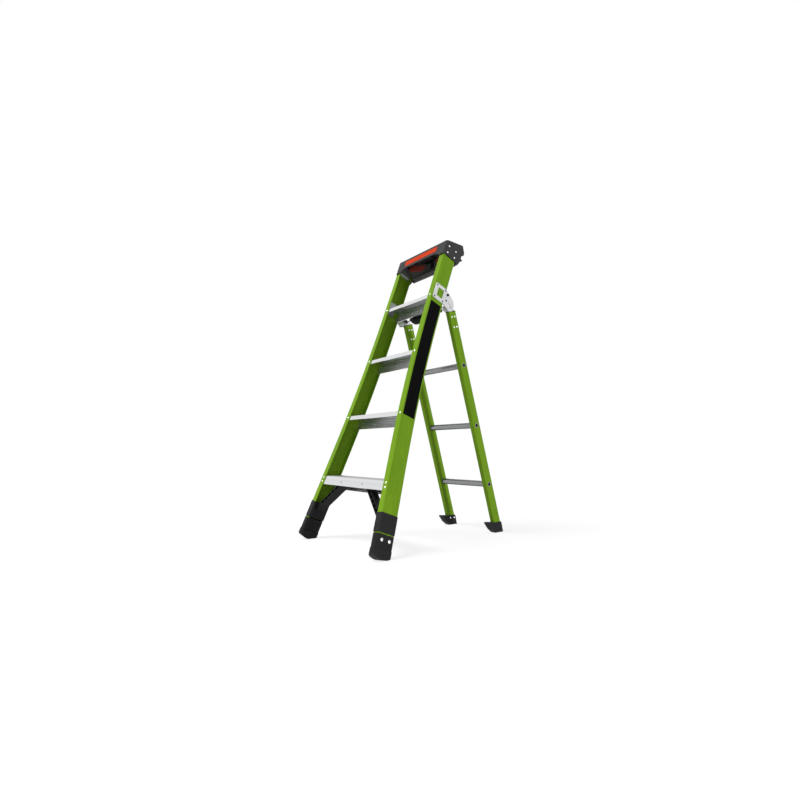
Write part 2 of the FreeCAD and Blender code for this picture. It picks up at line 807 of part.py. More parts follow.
def top_cap():
    cheek = prism_x(cap_cheek_outline(), rail_half_width, cap_half_width)
    rear_half = box(cap_slot_outer_x, cap_half_width, rail_depth, 2 * rail_depth,
                    cap_end_bottom_s - rail_depth, cap_top_s + rail_depth)
    inner_cheek = prism_x(cap_cheek_outline(), cap_slot_outer_x, cap_half_width).common(rear_half)
    cheek = cheek.fuse(inner_cheek)
    face = prism_u([(-cap_half_width, cap_end_bottom_s), (-cap_lip_half_width, cap_end_bottom_s),
                    (-cap_arch_half_width, cap_arch_s), (cap_arch_half_width, cap_arch_s),
                    (cap_lip_half_width, cap_end_bottom_s), (cap_half_width, cap_end_bottom_s),
                    (cap_half_width, cap_top_s), (-cap_half_width, cap_top_s)],
                   cap_front_u, cap_front_u + cap_wall)
    wall_drop = cap_wall / math.cos(front_lean)
    top = prism_x([(cap_front_u, cap_top_s), (cap_rear_u, cap_top_at(cap_rear_u)),
                   (cap_rear_drop_u, cap_rear_drop_s),
                   (cap_rear_drop_u, cap_rear_drop_s - cap_rear_lip),
                   (cap_rear_drop_u - cap_wall, cap_rear_drop_s - cap_rear_lip),
                   (cap_rear_drop_u - cap_wall, cap_rear_drop_s - cap_wall),
                   (cap_rear_u - cap_wall, cap_top_at(cap_rear_u - cap_wall) - wall_drop),
                   (cap_front_u, cap_top_s - wall_drop)],
                  -cap_half_width, cap_half_width)
    slot = box(cap_slot_inner_x, cap_slot_outer_x, rail_depth + cap_wall, 2 * rail_depth,
               cap_end_bottom_s - rail_depth, cap_top_s + rail_depth)
    top = top.cut(slot).cut(mirrored(slot))
    lug_front_u = pad_axis_u - 2 * pad_barrel_r
    lug = prism_x([(lug_front_u, cap_top_at(lug_front_u) - cap_wall),
                   (pad_lug_rear_u, cap_top_at(pad_lug_rear_u) - cap_wall),
                   (pad_lug_rear_u, pad_axis_s),
                   (pad_axis_u - pad_barrel_r, pad_axis_s - pad_barrel_r / 2),
                   (lug_front_u, pad_axis_s + pad_barrel_r)],
                  cap_lug_inner_x, cap_lug_outer_x)
    lug = lug.fuse(cylinder_x(pad_barrel_r, cap_lug_inner_x, cap_lug_outer_x,
                              pad_axis_u, pad_axis_s))
    lug = lug.cut(cylinder_x(pad_rod_r, cap_lug_inner_x - 1, cap_lug_outer_x + 1,
                             pad_axis_u, pad_axis_s))
    rib = prism_x([(cap_front_u + cap_wall, cap_top_at(cap_front_u + cap_wall)),
                   (pad_axis_u, cap_top_at(pad_axis_u)),
                   (pad_axis_u, cap_top_at(pad_axis_u) - cap_rib_height),
                   (cap_front_u + cap_wall, cap_top_s - cap_rib_height)],
                  -cap_wall / 2, cap_wall / 2)
    cap = joined([face, top, cheek, mirrored(cheek), lug, mirrored(lug), rib])
    room = box(rail_half_width - rail_flange - 1, rail_half_width, 0, rail_depth,
               cap_end_bottom_s - rail_depth, rail_top_s + cap_seat_gap)
    cap = cap.cut(room).cut(mirrored(room))
    corner = cap_end_chamfer
    bevel = Part.Face(Part.makePolygon([
        Vector(cap_half_width - corner, cap_front_u - 1, 0),
        Vector(cap_half_width + 1, cap_front_u - 1, 0),
        Vector(cap_half_width + 1, cap_front_u + corner, 0),
        Vector(cap_half_width, cap_front_u + corner, 0),
        Vector(cap_half_width - corner, cap_front_u, 0),
        Vector(cap_half_width - corner, cap_front_u - 1, 0)])).extrude(Vector(0, 0, 2 * cap_top_s))
    cap = cap.cut(bevel).cut(mirrored(bevel))
    for u, s in cap_rivet_places():
        hole = cylinder_x(step_rivet_r + rivet_clearance, rail_half_width - 1,
                          cap_half_width + 1, u, s)
        cap = cap.cut(hole).cut(mirrored(hole))
    return cap


def cap_inserts():
    block = box(cap_insert_x, rail_half_width - rail_web, rail_lip + cap_insert_gap,
                rail_depth - rail_lip - cap_insert_gap, cap_insert_bottom_s, rail_top_s)
    inner_low = [edge for edge in edges_along(block, Vector(0, 1, 0))
                 if edge.CenterOfMass.x < cap_insert_x + 1
                 and edge.CenterOfMass.z < cap_insert_bottom_s + 1]
    block = block.makeChamfer(cap_insert_chamfer, inner_low)
    for u, s in cap_rivet_places():
        block = block.cut(cylinder_x(step_rivet_r + rivet_clearance, cap_insert_x - 1,
                                     rail_half_width, u, s))
    return Part.makeCompound([block, mirrored(block)])


def cap_rivets():
    rivets = []
    length = cap_half_width - cap_insert_x - cap_insert_gap
    for u, s in cap_rivet_places():
        rivet = rivet_x(cap_half_width, u, s, 1, step_rivet_r, length,
                        step_rivet_head_r, step_rivet_head_h)
        rivets.extend([rivet, mirrored(rivet)])
    return Part.makeCompound(rivets)


def cap_stripe():
    """Plain coloured bar on the front of the cap."""
    middle = (cap_arch_s + cap_top_s) / 2
    return box(-stripe_half_width, stripe_half_width, cap_front_u - decal_thickness, cap_front_u,
               middle - stripe_height / 2, middle + stripe_height / 2)


# Wall pad

def pad_lobe_outline(x0, x1, u0, u1, front_r, rear_r, s):
    """Plan of one lobe with rounded corners, as a wire at height s."""
    k = math.sqrt(0.5)

    def corner(cx, cu, r, ax, au):
        start = Vector(cx + ax * r, cu, s)
        mid = Vector(cx + ax * r * k, cu + au * r * k, s)
        end = Vector(cx, cu + au * r, s)
        return start, mid, end
    front_left = corner(x0 + front_r, u0 + front_r, front_r, -1, -1)
    front_right = corner(x1 - front_r, u0 + front_r, front_r, 1, -1)
    rear_right = corner(x1 - rear_r, u1 - rear_r, rear_r, 1, 1)
    rear_left = corner(x0 + rear_r, u1 - rear_r, rear_r, -1, 1)
    edges = [Part.Arc(*front_left).toShape(),
             Part.makeLine(front_left[2], front_right[2]),
             Part.Arc(*front_right).toShape(),
             Part.makeLine(front_right[0], rear_right[0]),
             Part.Arc(*rear_right).toShape(),
             Part.makeLine(rear_right[2], rear_left[2]),
             Part.Arc(*rear_left).toShape(),
             Part.makeLine(rear_left[0], front_left[0])]
    return Part.Wire(Part.__sortEdges__(edges))


def pad_front_cut(extra, s_high, s_low, u_high, u_low):
    """Room in front of the right lobe's angled face, between two heights."""
    x0 = pad_lobe_gap / 2 - 1
    bend_x = pad_half_span - pad_lobe_corner_r
    offset = extra * math.hypot(1, pad_vee_slope)
    inner_u = u_high + offset + pad_vee_slope * (bend_x - x0)
    corners = [Vector(x0, u_high - pad_depth, s_high),
               Vector(pad_half_span + 1, u_high - pad_depth, s_high),
               Vector(pad_half_span + 1, u_high + offset, s_high),
               Vector(bend_x, u_high + offset, s_high),
               Vector(x0, inner_u, s_high)]
    face = Part.Face(Part.makePolygon(corners + [corners[0]]))
    return face.extrude(Vector(0, u_low - u_high, s_low - s_high))


def pad_lobe(extra, s0, s1):
    """Right lobe between two heights, its front and sides drawn in by extra. Its face hangs
    plumb when the ladder stands, turns inwards to make a vee, and slopes back below."""
    wire = pad_lobe_outline(pad_lobe_gap / 2, pad_half_span - extra, pad_front_u + extra,
                            pad_rear_u, pad_lobe_corner_r - extra, pad_rear_corner_r, s0)
    upright = Part.Face(wire).extrude(Vector(0, 0, s1 - s0))
    brow_u = pad_front_u + (pad_top_s - pad_brow_s) * tread_slope
    over_s = pad_top_s + 1
    lobe = upright.cut(pad_front_cut(extra, over_s, pad_brow_s,
                                     pad_front_u - tread_slope, brow_u))
    under_s = pad_bottom_s - 1
    chin_slope = (pad_rear_u - brow_u) / pad_brow_height
    return lobe.cut(pad_front_cut(extra, pad_brow_s, under_s, brow_u,
                                  brow_u + chin_slope * (pad_brow_s - under_s)))


def pad_grip():
    """Soft band let into the outer part of the right lobe's face and its side."""
    outer = pad_lobe(0, pad_brow_s, pad_grip_top_s)
    inner = pad_lobe(pad_grip_depth, pad_brow_s - 1, pad_grip_top_s + 1)
    rear = box(0, rail_half_width, pad_rear_u - 2 * pad_rear_corner_r, rail_depth * 2,
               pad_bottom_s, pad_top_s + 1)
    middle = box(0, pad_grip_inner_x, 0, rail_depth * 2, pad_bottom_s, pad_top_s + 1)
    return outer.cut(inner).cut(rear).cut(middle)


def wall_pad_body():
    lobe = pad_lobe(0, pad_bottom_s, pad_top_s).cut(pad_grip())
    yoke = box(-pad_half_span, pad_half_span, pad_rear_u - pad_barrel_r, pad_rear_u, pad_bottom_s,
               pad_bottom_s + pad_yoke_height)
    barrel = cylinder_x(pad_barrel_r, -pad_half_span, pad_half_span, pad_axis_u, pad_axis_s)
    web = box(-pad_half_span, pad_half_span, pad_rear_u - 1, pad_axis_u,
              pad_axis_s - pad_barrel_r / 4, pad_axis_s + pad_barrel_r / 2)
    body = joined([lobe, mirrored(lobe), yoke, barrel, web])
    bore = cylinder_x(pad_rod_r + running_clearance, -rail_half_width, rail_half_width,
                      pad_axis_u, pad_axis_s)
    return body.cut(bore)


def wall_pad_grips():
    """Soft bands on the upper front of the lobes."""
    grip = pad_grip()
    return Part.makeCompound([grip, mirrored(grip)])


def wall_pad_rod():
    return cylinder_x(pad_rod_r, -cap_lug_outer_x, cap_lug_outer_x, pad_axis_u, pad_axis_s)


# Hinges

def hinge_outline(x):
    """Outline of the fixed hinge plate: a square frame that runs into a round disc."""
    end_rise = math.sqrt(hinge_disc_r ** 2 - (hinge_disc_end_u - hinge_disc_u) ** 2)
    disc_top = Vector(x, hinge_disc_u, hinge_disc_s + hinge_disc_r)
    k = math.sqrt(0.5)
    disc_mid = Vector(x, hinge_disc_u + k * hinge_disc_r, hinge_disc_s + k * hinge_disc_r)
    disc_end = Vector(x, hinge_disc_end_u, hinge_disc_s - end_rise)
    corners = [disc_end,
               Vector(x, hinge_tail_u, hinge_tail_s),
               Vector(x, hinge_step_u, hinge_step_s),
               Vector(x, rail_depth, hinge_frame_low_s - rivet_clearance),
               Vector(x, hinge_frame_front_u, hinge_frame_low_s),
               Vector(x, hinge_frame_front_u, hinge_frame_high_s),
               Vector(x, rail_depth, hinge_frame_high_s),
               Vector(x, hinge_shoulder_u, hinge_shoulder_s),
               disc_top]
    edges = [Part.Arc(disc_top, disc_mid, disc_end).toShape()]
    for start, end in zip(corners, corners[1:]):
        edges.append(Part.makeLine(start, end))
    return Part.Face(Part.Wire(Part.__sortEdges__(edges)))


def hinge_plate_body():
    body = hinge_outline(hinge_inner_x).extrude(Vector(hinge_plate, 0, 0))
    front_edges = [edge for edge in edges_along(body, Vector(1, 0, 0))
                   if edge.CenterOfMass.y < hinge_window_front_u]
    body = body.makeFillet(hinge_corner_r, front_edges)
    boss = cylinder_x(pivot_boss_r, fixed_disc_x, hinge_inner_x + hinge_plate / 2,
                      pivot_u, pivot_s)
    body = body.fuse(boss).removeSplitter()
    window = box(rail_half_width - 1, hinge_outer_x + 1, hinge_window_front_u,
                 hinge_window_rear_u, hinge_window_low_s, hinge_window_high_s)
    body = body.cut(window.makeFillet(hinge_corner_r / 2, edges_along(window, Vector(1, 0, 0))))
    x0 = hinge_inner_x - 1
    x1 = hinge_outer_x + 1
    slot = cylinder_x(hinge_slot_r + hinge_slot_width / 2, x0, x1, hinge_slot_u, hinge_slot_s)
    slot = slot.cut(cylinder_x(hinge_slot_r - hinge_slot_width / 2, x0, x1,
                               hinge_slot_u, hinge_slot_s))
    wedge = prism_x([(hinge_slot_u, hinge_slot_s),
                     (hinge_slot_u - 2 * hinge_slot_r, hinge_slot_s - hinge_slot_r),
                     (hinge_slot_u - 2 * hinge_slot_r, hinge_slot_s - 2 * hinge_slot_r),
                     (hinge_slot_u - hinge_slot_r / 4, hinge_slot_s - 2 * hinge_slot_r)], x0, x1)
    body = body.cut(slot.common(wedge))
    body = body.cut(cylinder_x(hinge_bolt_r / 2 + rivet_clearance, x0, x1,
                               hinge_bolt_u, hinge_bolt_s))
    body = body.cut(cylinder_x(pivot_pin_r, 0, 2 * rail_half_width, pivot_u, pivot_s))
    for u, s in hinge_screw_places():
        body = body.cut(cylinder_x(hinge_screw_r + rivet_clearance, x0, x1, u, s))
    return body


def hinge_backing():
    x1 = rail_half_width - rail_web
    plate = box(x1 - backing_wall, x1, backing_front_u, backing_rear_u,
                hinge_frame_low_s, hinge_frame_high_s)
    for u, s in hinge_screw_places():
        plate = plate.cut(cylinder_x(hinge_screw_r + rivet_clearance, 0, rail_half_width, u, s))
    return plate


def hinge_screws():
    screws = []
    for u, s in hinge_screw_places():
        length = hinge_outer_x - rail_half_width + rail_web
        if u < backing_rear_u:
            length += backing_wall
        head = cylinder_x(hinge_screw_head_r, hinge_outer_x,
                          hinge_outer_x + hinge_screw_head_h, u, s)
        shank = cylinder_x(hinge_screw_r, hinge_outer_x - length, hinge_outer_x, u, s)
        screw = head.fuse(shank).removeSplitter()
        screws.extend([screw, mirrored(screw)])
    return Part.makeCompound(screws)


def hinge_bolts():
    """Dark bolts beside the rails, with their nuts on the inner side of the plates."""
    x0 = hinge_inner_x
    x1 = hinge_outer_x
    shank = cylinder_x(hinge_bolt_r / 2, x0 - 1, x1 + 1, hinge_bolt_u, hinge_bolt_s)
    head = cylinder_x(hinge_bolt_r, x1, x1 + hinge_screw_head_h, hinge_bolt_u, hinge_bolt_s)
    nut = cylinder_x(hinge_bolt_r, x0 - hinge_bolt_r / 2, x0, hinge_bolt_u, hinge_bolt_s)
    bolt = joined([shank, head, nut])
    return Part.makeCompound([bolt, mirrored(bolt)])


def arm_sides():
    """Inner and outer x of the hinge arm."""
    return (rear_inner_x + rear_wall + arm_side_play, rear_half_width - rear_wall - arm_side_play)


def hinge_pin():
    inner, outer = arm_sides()
    head = cylinder_x(pivot_head_r, inner - hinge_side_play - pivot_head_h,
                      inner - hinge_side_play, pivot_u, pivot_s)
    shank = cylinder_x(pivot_pin_r, inner - hinge_side_play - 1,
                       hinge_outer_x, pivot_u, pivot_s)
    shoulder = cylinder_x(pivot_shoulder_r, outer + hinge_side_play, fixed_disc_x,
                          pivot_u, pivot_s)
    return joined([head, shank, shoulder])


def hinge_bumpers():
    """Round rubber buffers: one on the upper edge of the disc, one under the plate."""
    x0 = hinge_outer_x
    upper = cylinder_x(bumper_r, x0, x0 + bumper_h, bumper_u, bumper_s)
    lower = cylinder_u(stop_bumper_r, rail_half_width - stop_bumper_r, rail_depth,
                       rail_depth + bumper_h, hinge_frame_low_s - stop_bumper_drop)
    return Part.makeCompound([upper, mirrored(upper), lower, mirrored(lower)])


# Lock rods, their housing and the release handle under the top step

def lock_place():
    """(u, s) of the lock rods in the front section."""
    angle = math.radians(lock_bearing)
    return (pivot_u + lock_radius * math.cos(angle), pivot_s + lock_radius * math.sin(angle))


def lock_rod():
    u, s = lock_place()
    tip = arm_sides()[0] - hinge_side_play
    rod = cylinder_x(lock_rod_r, lock_rod_inner_x, tip, u, s)
    return rod.makeChamfer(lock_rod_r / 4, [edge for edge in rod.Edges
                                            if abs(edge.CenterOfMass.x - tip) < 0.01])


def release_rivet_places():
    s = lock_place()[1]
    return [(lock_guide_x + lock_guide_width / 2, s), (-lock_guide_x - lock_guide_width / 2, s),
            (lock_rod_inner_x, s), (-lock_rod_inner_x, s)]


def lock_guides():
    u, s = lock_place()
    reach = lock_rod_r + lock_wall
    block = box(lock_guide_x, lock_guide_x + lock_guide_width, step_rear_u, u + reach,
                s - reach, s + reach)
    block = block.cut(cylinder_x(lock_rod_r + running_clearance, lock_guide_x - 1,
                                 lock_guide_x + lock_guide_width + 1, u, s))
    block = block.cut(cylinder_u(step_rivet_r + rivet_clearance,
                                 lock_guide_x + lock_guide_width / 2,
                                 step_rear_u - 1, step_rear_u + 3 * step_wall, s))
    return Part.makeCompound([block, mirrored(block)])


def release_housing():
    """Box behind the top step that holds the lock rods and carries the handle."""
    u, s = lock_place()
    reach = lock_rod_r + lock_wall
    body = box(-housing_half_width, housing_half_width, step_rear_u, u + reach,
               s - reach, s + reach)
    for side in (-1, 1):
        inner = min(side * housing_bore_x, side * (housing_half_width + 1))
        outer = max(side * housing_bore_x, side * (housing_half_width + 1))
        body = body.cut(cylinder_x(lock_rod_r + running_clearance, inner, outer, u, s))
        body = body.cut(cylinder_u(step_rivet_r + rivet_clearance, side * lock_rod_inner_x,
                                   step_rear_u - 1, step_rear_u + 3 * step_wall, s))
    x0 = handle_half_width + handle_ear_gap
    ear_s = s - reach
    ear = box(x0, x0 + handle_ear, handle_axis_u - handle_barrel_r,
              handle_axis_u + handle_barrel_r, handle_axis_s, ear_s + reach)
    ear = ear.fuse(cylinder_x(handle_barrel_r, x0, x0 + handle_ear, handle_axis_u, handle_axis_s))
    ear = ear.cut(cylinder_x(handle_pin_r, x0 - 1, x0 + handle_ear + 1,
                             handle_axis_u, handle_axis_s))
    body = body.cut(box(-x0, x0, handle_axis_u - 2 * handle_barrel_r,
                        handle_axis_u + 2 * handle_barrel_r, handle_axis_s - handle_barrel_r,
                        handle_axis_s + handle_barrel_r + handle_ear_gap))
    return joined([body, ear, mirrored(ear)])


def handle_pin():
    half = handle_half_width + handle_ear_gap + handle_ear
    return cylinder_x(handle_pin_r, -half, half, handle_axis_u, handle_axis_s)


def release_handle():
    barrel = cylinder_x(handle_barrel_r, -handle_half_width, handle_half_width,
                        handle_axis_u, handle_axis_s)
    u0 = handle_axis_u - handle_thickness / 2
    top_s = handle_axis_s
    left = Vector(-handle_half_width, u0, top_s)
    right = Vector(handle_half_width, u0, top_s)
    low = Vector(0, u0, top_s - handle_bulge)
    wire = Part.Wire([Part.Arc(left, low, right).toShape(), Part.makeLine(right, left)])
    grip = Part.Face(wire).extrude(Vector(0, handle_thickness, 0))
    body = barrel.fuse(grip).removeSplitter()
    return body.cut(cylinder_x(handle_pin_r + running_clearance, -2 * handle_half_width,
                               2 * handle_half_width, handle_axis_u, handle_axis_s))


def release_rivets():
    """Rivets that hold the rod guides and the housing to the rear of the top step."""
    rivets = []
    for x, s in release_rivet_places():
        rivets.append(rivet_u(x, step_rear_u - step_wall, s, -1, step_rivet_r,
                              3 * step_wall, step_rivet_head_r, step_rivet_head_h))
    return Part.makeCompound(rivets)


# Rear section

def arm_rivet_places():
    return [(u, s) for u in (arm_rivet_front_u, arm_rivet_rear_u)
            for s in (arm_rivet_low_s, arm_rivet_high_s)]


def rung_heights():
    return [rung_first_s + index * step_pitch for index in range(rung_count)]


def rear_rail():
    tube = box(rear_inner_x, rear_half_width, 0, rear_depth, rear_rail_bottom, rear_rail_top)
    bore = box(rear_inner_x + rear_wall, rear_half_width - rear_wall, rear_wall,
               rear_depth - rear_wall, rear_rail_bottom - 1, rear_rail_top + 1)
    tube = tube.makeFillet(rear_wall / 2, edges_along(tube, Vector(0, 0, 1)))
    tube = tube.cut(bore)
    for s in rung_heights():
        tube = tube.cut(cylinder_x(rung_neck_r + rivet_clearance, rear_inner_x - 1,
                                   rear_half_width + 1, rear_depth / 2, s))
    for u, s in arm_rivet_places():
        tube = tube.cut(cylinder_x(arm_rivet_r + rivet_clearance, rear_inner_x - 1,
                                   rear_half_width + 1, u, s))
    for u, s in ((rear_depth - drain_high_inset, drain_high_s),
                 (rear_depth - drain_low_inset, drain_low_s)):
        tube = tube.cut(cylinder_x(drain_hole_r, rear_inner_x - 1, rear_half_width + 1, u, s))
    return tube


def rail_plug():
    """Black collar on top of a rear rail, flush outside to clear the hinge plate."""
    plug = box(rear_inner_x - plug_overhang, rear_half_width, -plug_overhang,
               rear_depth + plug_overhang, rear_rail_top, rear_rail_top + plug_height)
    return plug.cut(arm_blade(arm_side_play))


def arm_blade(extra):
    """The part of the hinge arm that goes down inside the rear rail."""
    middle = rear_depth / 2
    x0, x1 = arm_sides()
    return box(x0 - extra, x1 + extra, middle - arm_depth / 2 - extra,
               middle + arm_depth / 2 + extra, pivot_rear_s - arm_length,
               rear_rail_top + 2 * plug_height)


def hinge_arm():
    x0, x1 = arm_sides()
    middle = rear_depth / 2
    base = rear_rail_top + plug_height + plug_overhang
    head = cylinder_x(head_r, x0, x1, pivot_rear_u, pivot_rear_s)
    trim = box(x0 - 1, x1 + 1, -2 * head_r, 3 * head_r, pivot_rear_s - 2 * head_r, base)
    head = head.cut(trim)
    k = math.sqrt(0.5)
    neck = prism_x([(middle - arm_depth / 2, base), (middle + arm_depth / 2, base),
                    (middle + arm_depth / 2, base + plug_height),
                    (pivot_rear_u + k * head_r, pivot_rear_s + k * head_r),
                    (pivot_rear_u, pivot_rear_s),
                    (middle - arm_depth / 2, pivot_rear_s - head_r / 2)], x0, x1)
    arm = joined([head, neck, arm_blade(0)])
    arm = arm.cut(cylinder_x(pivot_pin_r + running_clearance, 0, 2 * rear_half_width,
                             pivot_rear_u, pivot_rear_s))
    swing = lean_front + lean_rear
    for turn in (0, -swing, 180 - swing):
        angle = math.radians(lock_bearing - swing - turn)
        arm = arm.cut(cylinder_x(lock_hole_r, x0 - 1, x0 + lock_hole_depth,
                                 pivot_rear_u + lock_radius * math.cos(angle),
                                 pivot_rear_s + lock_radius * math.sin(angle)))
    for u, s in arm_rivet_places():
        arm = arm.cut(cylinder_x(arm_rivet_r + rivet_clearance, rear_inner_x,
                                 rear_half_width, u, s))
    return arm


def arm_rivets():
    rivets = []
    for u, s in arm_rivet_places():
        rivet = rivet_x(rear_half_width, u, s, 1, arm_rivet_r, rear_width,
                        arm_rivet_head_r, arm_rivet_head_h)
        tail = rivet_x(rear_inner_x, u, s, -1, arm_rivet_r, rear_width / 2,
                       arm_rivet_head_r, arm_rivet_head_h)
        whole = rivet.fuse(tail).removeSplitter()
        rivets.extend([whole, mirrored(whole)])
    return Part.makeCompound(rivets)


def rung(s):
    middle = rear_depth / 2
    tube = cylinder_x(rung_r, -rear_inner_x, rear_inner_x, middle, s)
    neck = cylinder_x(rung_neck_r, -rear_half_width, rear_half_width, middle, s)
    shape = tube.fuse(neck)
    bore = cylinder_x(rung_r - rung_wall, -rear_inner_x + rung_wall, rear_inner_x - rung_wall,
                      middle, s)
    through = cylinder_x(rung_neck_bore, -2 * rear_half_width, 2 * rear_half_width, middle, s)
    return shape.cut(bore).cut(through).removeSplitter()


def rung_ferrules():
    rings = []
    for s in rung_heights():
        ring = cylinder_x(ferrule_r, rear_half_width, rear_half_width + ferrule_h,
                          rear_depth / 2, s)
        ring = ring.cut(cylinder_x(rung_neck_bore, rear_half_width - 1,
                                   rear_half_width + ferrule_h + 1, rear_depth / 2, s))
        rings.extend([ring, mirrored(ring)])
    return Part.makeCompound(rings)


# Rear shoes

def rear_rail_envelope():
    solid = box(rear_inner_x, rear_half_width, 0, rear_depth, rear_rail_bottom, rear_rail_top)
    return solid.makeFillet(rear_wall / 2, edges_along(solid, Vector(0, 0, 1)))


def rear_shoe():
    x0 = rear_inner_x - shoe_side_wall
    x1 = rear_half_width + shoe_side_wall
    toe_y = rear_line_y - shoe_toe_lead

    def rail_front(z):
        return rear_line_y - z * math.tan(rear_lean)
    back = rear_depth / math.cos(rear_lean) + shoe_end_wall
    points = [(rear_line_y - shoe_sole_lead, 0), (rear_line_y + shoe_heel_reach, 0),
              (rail_front(shoe_top_z) + back, shoe_top_z),
              (rail_front(shoe_top_z) - shoe_end_wall, shoe_top_z),
              (toe_y + shoe_toe_tip, shoe_toe_z), (toe_y, shoe_toe_z - shoe_toe_tip),
              (rear_line_y - shoe_toe_low_lead, shoe_toe_low_z)]
    shoe = prism_x(points, x0, x1)
    shoe = shoe.cut(lean_rear_section(rear_rail_envelope()))
    for y in (shoe_rivet_front_y, shoe_rivet_rear_y):
        shoe = shoe.cut(cylinder_x(arm_rivet_r + rivet_clearance, x0 - 1, rear_inner_x + 1,
                                   y, shoe_rivet_z))
    return shoe


def rear_shoe_rivets():
    rivets = []
    for y in (shoe_rivet_front_y, shoe_rivet_rear_y):
        rivet = rivet_x(rear_inner_x - shoe_side_wall, y, shoe_rivet_z, -1, arm_rivet_r,
                        shoe_side_wall, arm_rivet_head_r, arm_rivet_head_h)
        rivets.extend([rivet, mirrored(rivet)])
    return Part.makeCompound(rivets)


# Label

def side_label():
    """Plain dark label on the outer face of the right rail."""
    layer = rail_strip(-decal_gap - decal_thickness, -decal_gap, label_margin, label_rear_u,
                       rail_bottom_t, rail_top_s)
    window = box(0, 2 * flare_foot_x, label_margin, label_rear_u, label_low_s, label_high_s)
    return layer.common(window)


# All nodes

nodes = {}


def add_front(name, shape):
    nodes[name] = lean_front_section(shape)


def add_rear(name, shape):
    nodes[name] = lean_rear_section(shape)


def add_pair(add, name, shape):
    add(name + "_right", shape)
    add(name + "_left", mirrored(shape))


def add_level(name, shape):
    nodes[name] = shape


add_pair(add_front, "front_rail", front_rail())
for number in range(step_count):
    add_front("step_%d" % (number + 1), step(number))
add_front("step_end_brackets", step_end_brackets())
add_front("step_rivets", step_rivets())
add_pair(add_front, "corner_brace", corner_brace())
add_front("brace_bolts", brace_bolts())
add_pair(add_level, "front_boot", front_boot())
add_front("front_boot_rivets", front_boot_rivets())
add_front("top_cap", top_cap())
add_front("cap_inserts", cap_inserts())
add_front("cap_rivets", cap_rivets())
add_front("cap_stripe", cap_stripe())
add_front("side_label", side_label())
add_front("wall_pad_body", wall_pad_body())
add_front("wall_pad_grips", wall_pad_grips())
add_front("wall_pad_rod", wall_pad_rod())
add_pair(add_front, "hinge_plate", hinge_plate_body())
add_pair(add_front, "hinge_backing", hinge_backing())
add_front("hinge_screws", hinge_screws())
add_front("hinge_bolts", hinge_bolts())
add_pair(add_front, "hinge_pin", hinge_pin())
add_front("hinge_bumpers", hinge_bumpers())
add_pair(add_front, "lock_rod", lock_rod())
add_front("lock_guides", lock_guides())
add_front("release_housing", release_housing())
add_front("handle_pin", handle_pin())
add_front("release_handle", release_handle())
add_front("release_rivets", release_rivets())
add_pair(add_rear, "hinge_arm", hinge_arm())
add_pair(add_rear, "rear_rail", rear_rail())
add_pair(add_rear, "rail_plug", rail_plug())
add_rear("arm_rivets", arm_rivets())
for number, height in enumerate(rung_heights()):
    add_rear("rung_%d" % (number + 1), rung(height))
add_rear("rung_ferrules", rung_ferrules())
add_pair(add_level, "rear_shoe", rear_shoe())
add_level("rear_shoe_rivets", rear_shoe_rivets())

whole = Part.makeCompound(list(nodes.values())).optimalBoundingBox(False, False)
centre_y = (whole.YMin + whole.YMax) / 2
os.makedirs("parts", exist_ok=True)
for name, shape in nodes.items():
    shape.translate(Vector(0, -centre_y, 0))
    shape.exportStep("parts/%s.step" % name)
print("size", round(whole.XLength, 1), round(whole.YLength, 1), round(whole.ZLength, 1))
print("middle of the outline at y", round(centre_y, 3), "lowest", round(whole.ZMin, 3))
print("nodes", len(nodes))
for name, shape in nodes.items():
    if not shape.isValid() or shape.Volume <= 0:
        print("not a sound solid:", name)
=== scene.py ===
import math

import bpy
from mathutils import Matrix, Vector


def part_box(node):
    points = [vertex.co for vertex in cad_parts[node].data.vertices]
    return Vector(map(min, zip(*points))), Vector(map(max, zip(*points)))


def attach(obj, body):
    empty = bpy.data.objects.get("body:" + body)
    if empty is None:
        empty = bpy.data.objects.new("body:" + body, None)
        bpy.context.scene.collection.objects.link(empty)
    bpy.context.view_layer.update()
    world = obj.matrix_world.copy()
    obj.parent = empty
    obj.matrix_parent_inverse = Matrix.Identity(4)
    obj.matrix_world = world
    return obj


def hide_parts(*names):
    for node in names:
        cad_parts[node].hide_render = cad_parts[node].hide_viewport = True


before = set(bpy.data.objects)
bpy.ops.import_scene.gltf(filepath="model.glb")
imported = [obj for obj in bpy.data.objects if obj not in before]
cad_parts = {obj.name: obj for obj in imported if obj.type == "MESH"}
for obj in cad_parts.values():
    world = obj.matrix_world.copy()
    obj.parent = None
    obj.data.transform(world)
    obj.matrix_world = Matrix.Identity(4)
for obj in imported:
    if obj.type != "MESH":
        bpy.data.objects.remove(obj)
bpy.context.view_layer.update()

bl_info = {
    "name": "Combination Ladder",
    "version": (1, 0, 0),
    "blender": (4, 5, 0),
    "location": "View3D > Sidebar > Ladder",
    "description": "Finishes and fine shapes of a green fibreglass combination ladder",
    "category": "Object",
}

# The two sections lean towards each other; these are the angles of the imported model.
FRONT_LEAN = math.radians(20.25)
REAR_LEAN = math.radians(16.4)
FLARE = math.radians(8.3)
SECTION_MIDDLE_Y = 0.455914

# Front section, in metres: across the ladder, back through the rails, up along them
RAIL_HALF_WIDTH = 0.181
FLARE_TOP = 1.235
FLARE_LOW = 0.430
STEP_FIRST = 0.302
STEP_PITCH = 0.3048
STEP_COUNT = 4
STEP_SIDE = 0.0068
TREAD_RISE = 0.0076
STEP_FRONT = 0.0032
STEP_REAR = 0.0748
STEP_WALL = 0.0028
BAR_END_GAP = 0.001
RIB_END_GAP = 0.002
RIB_WIDTH = 0.0022
APRON_RIB_SHARE = 0.55
APRON_RIB_DROPS = (0.004, 0.012, 0.020, 0.028)
EDGE_ROUNDING = 0.35

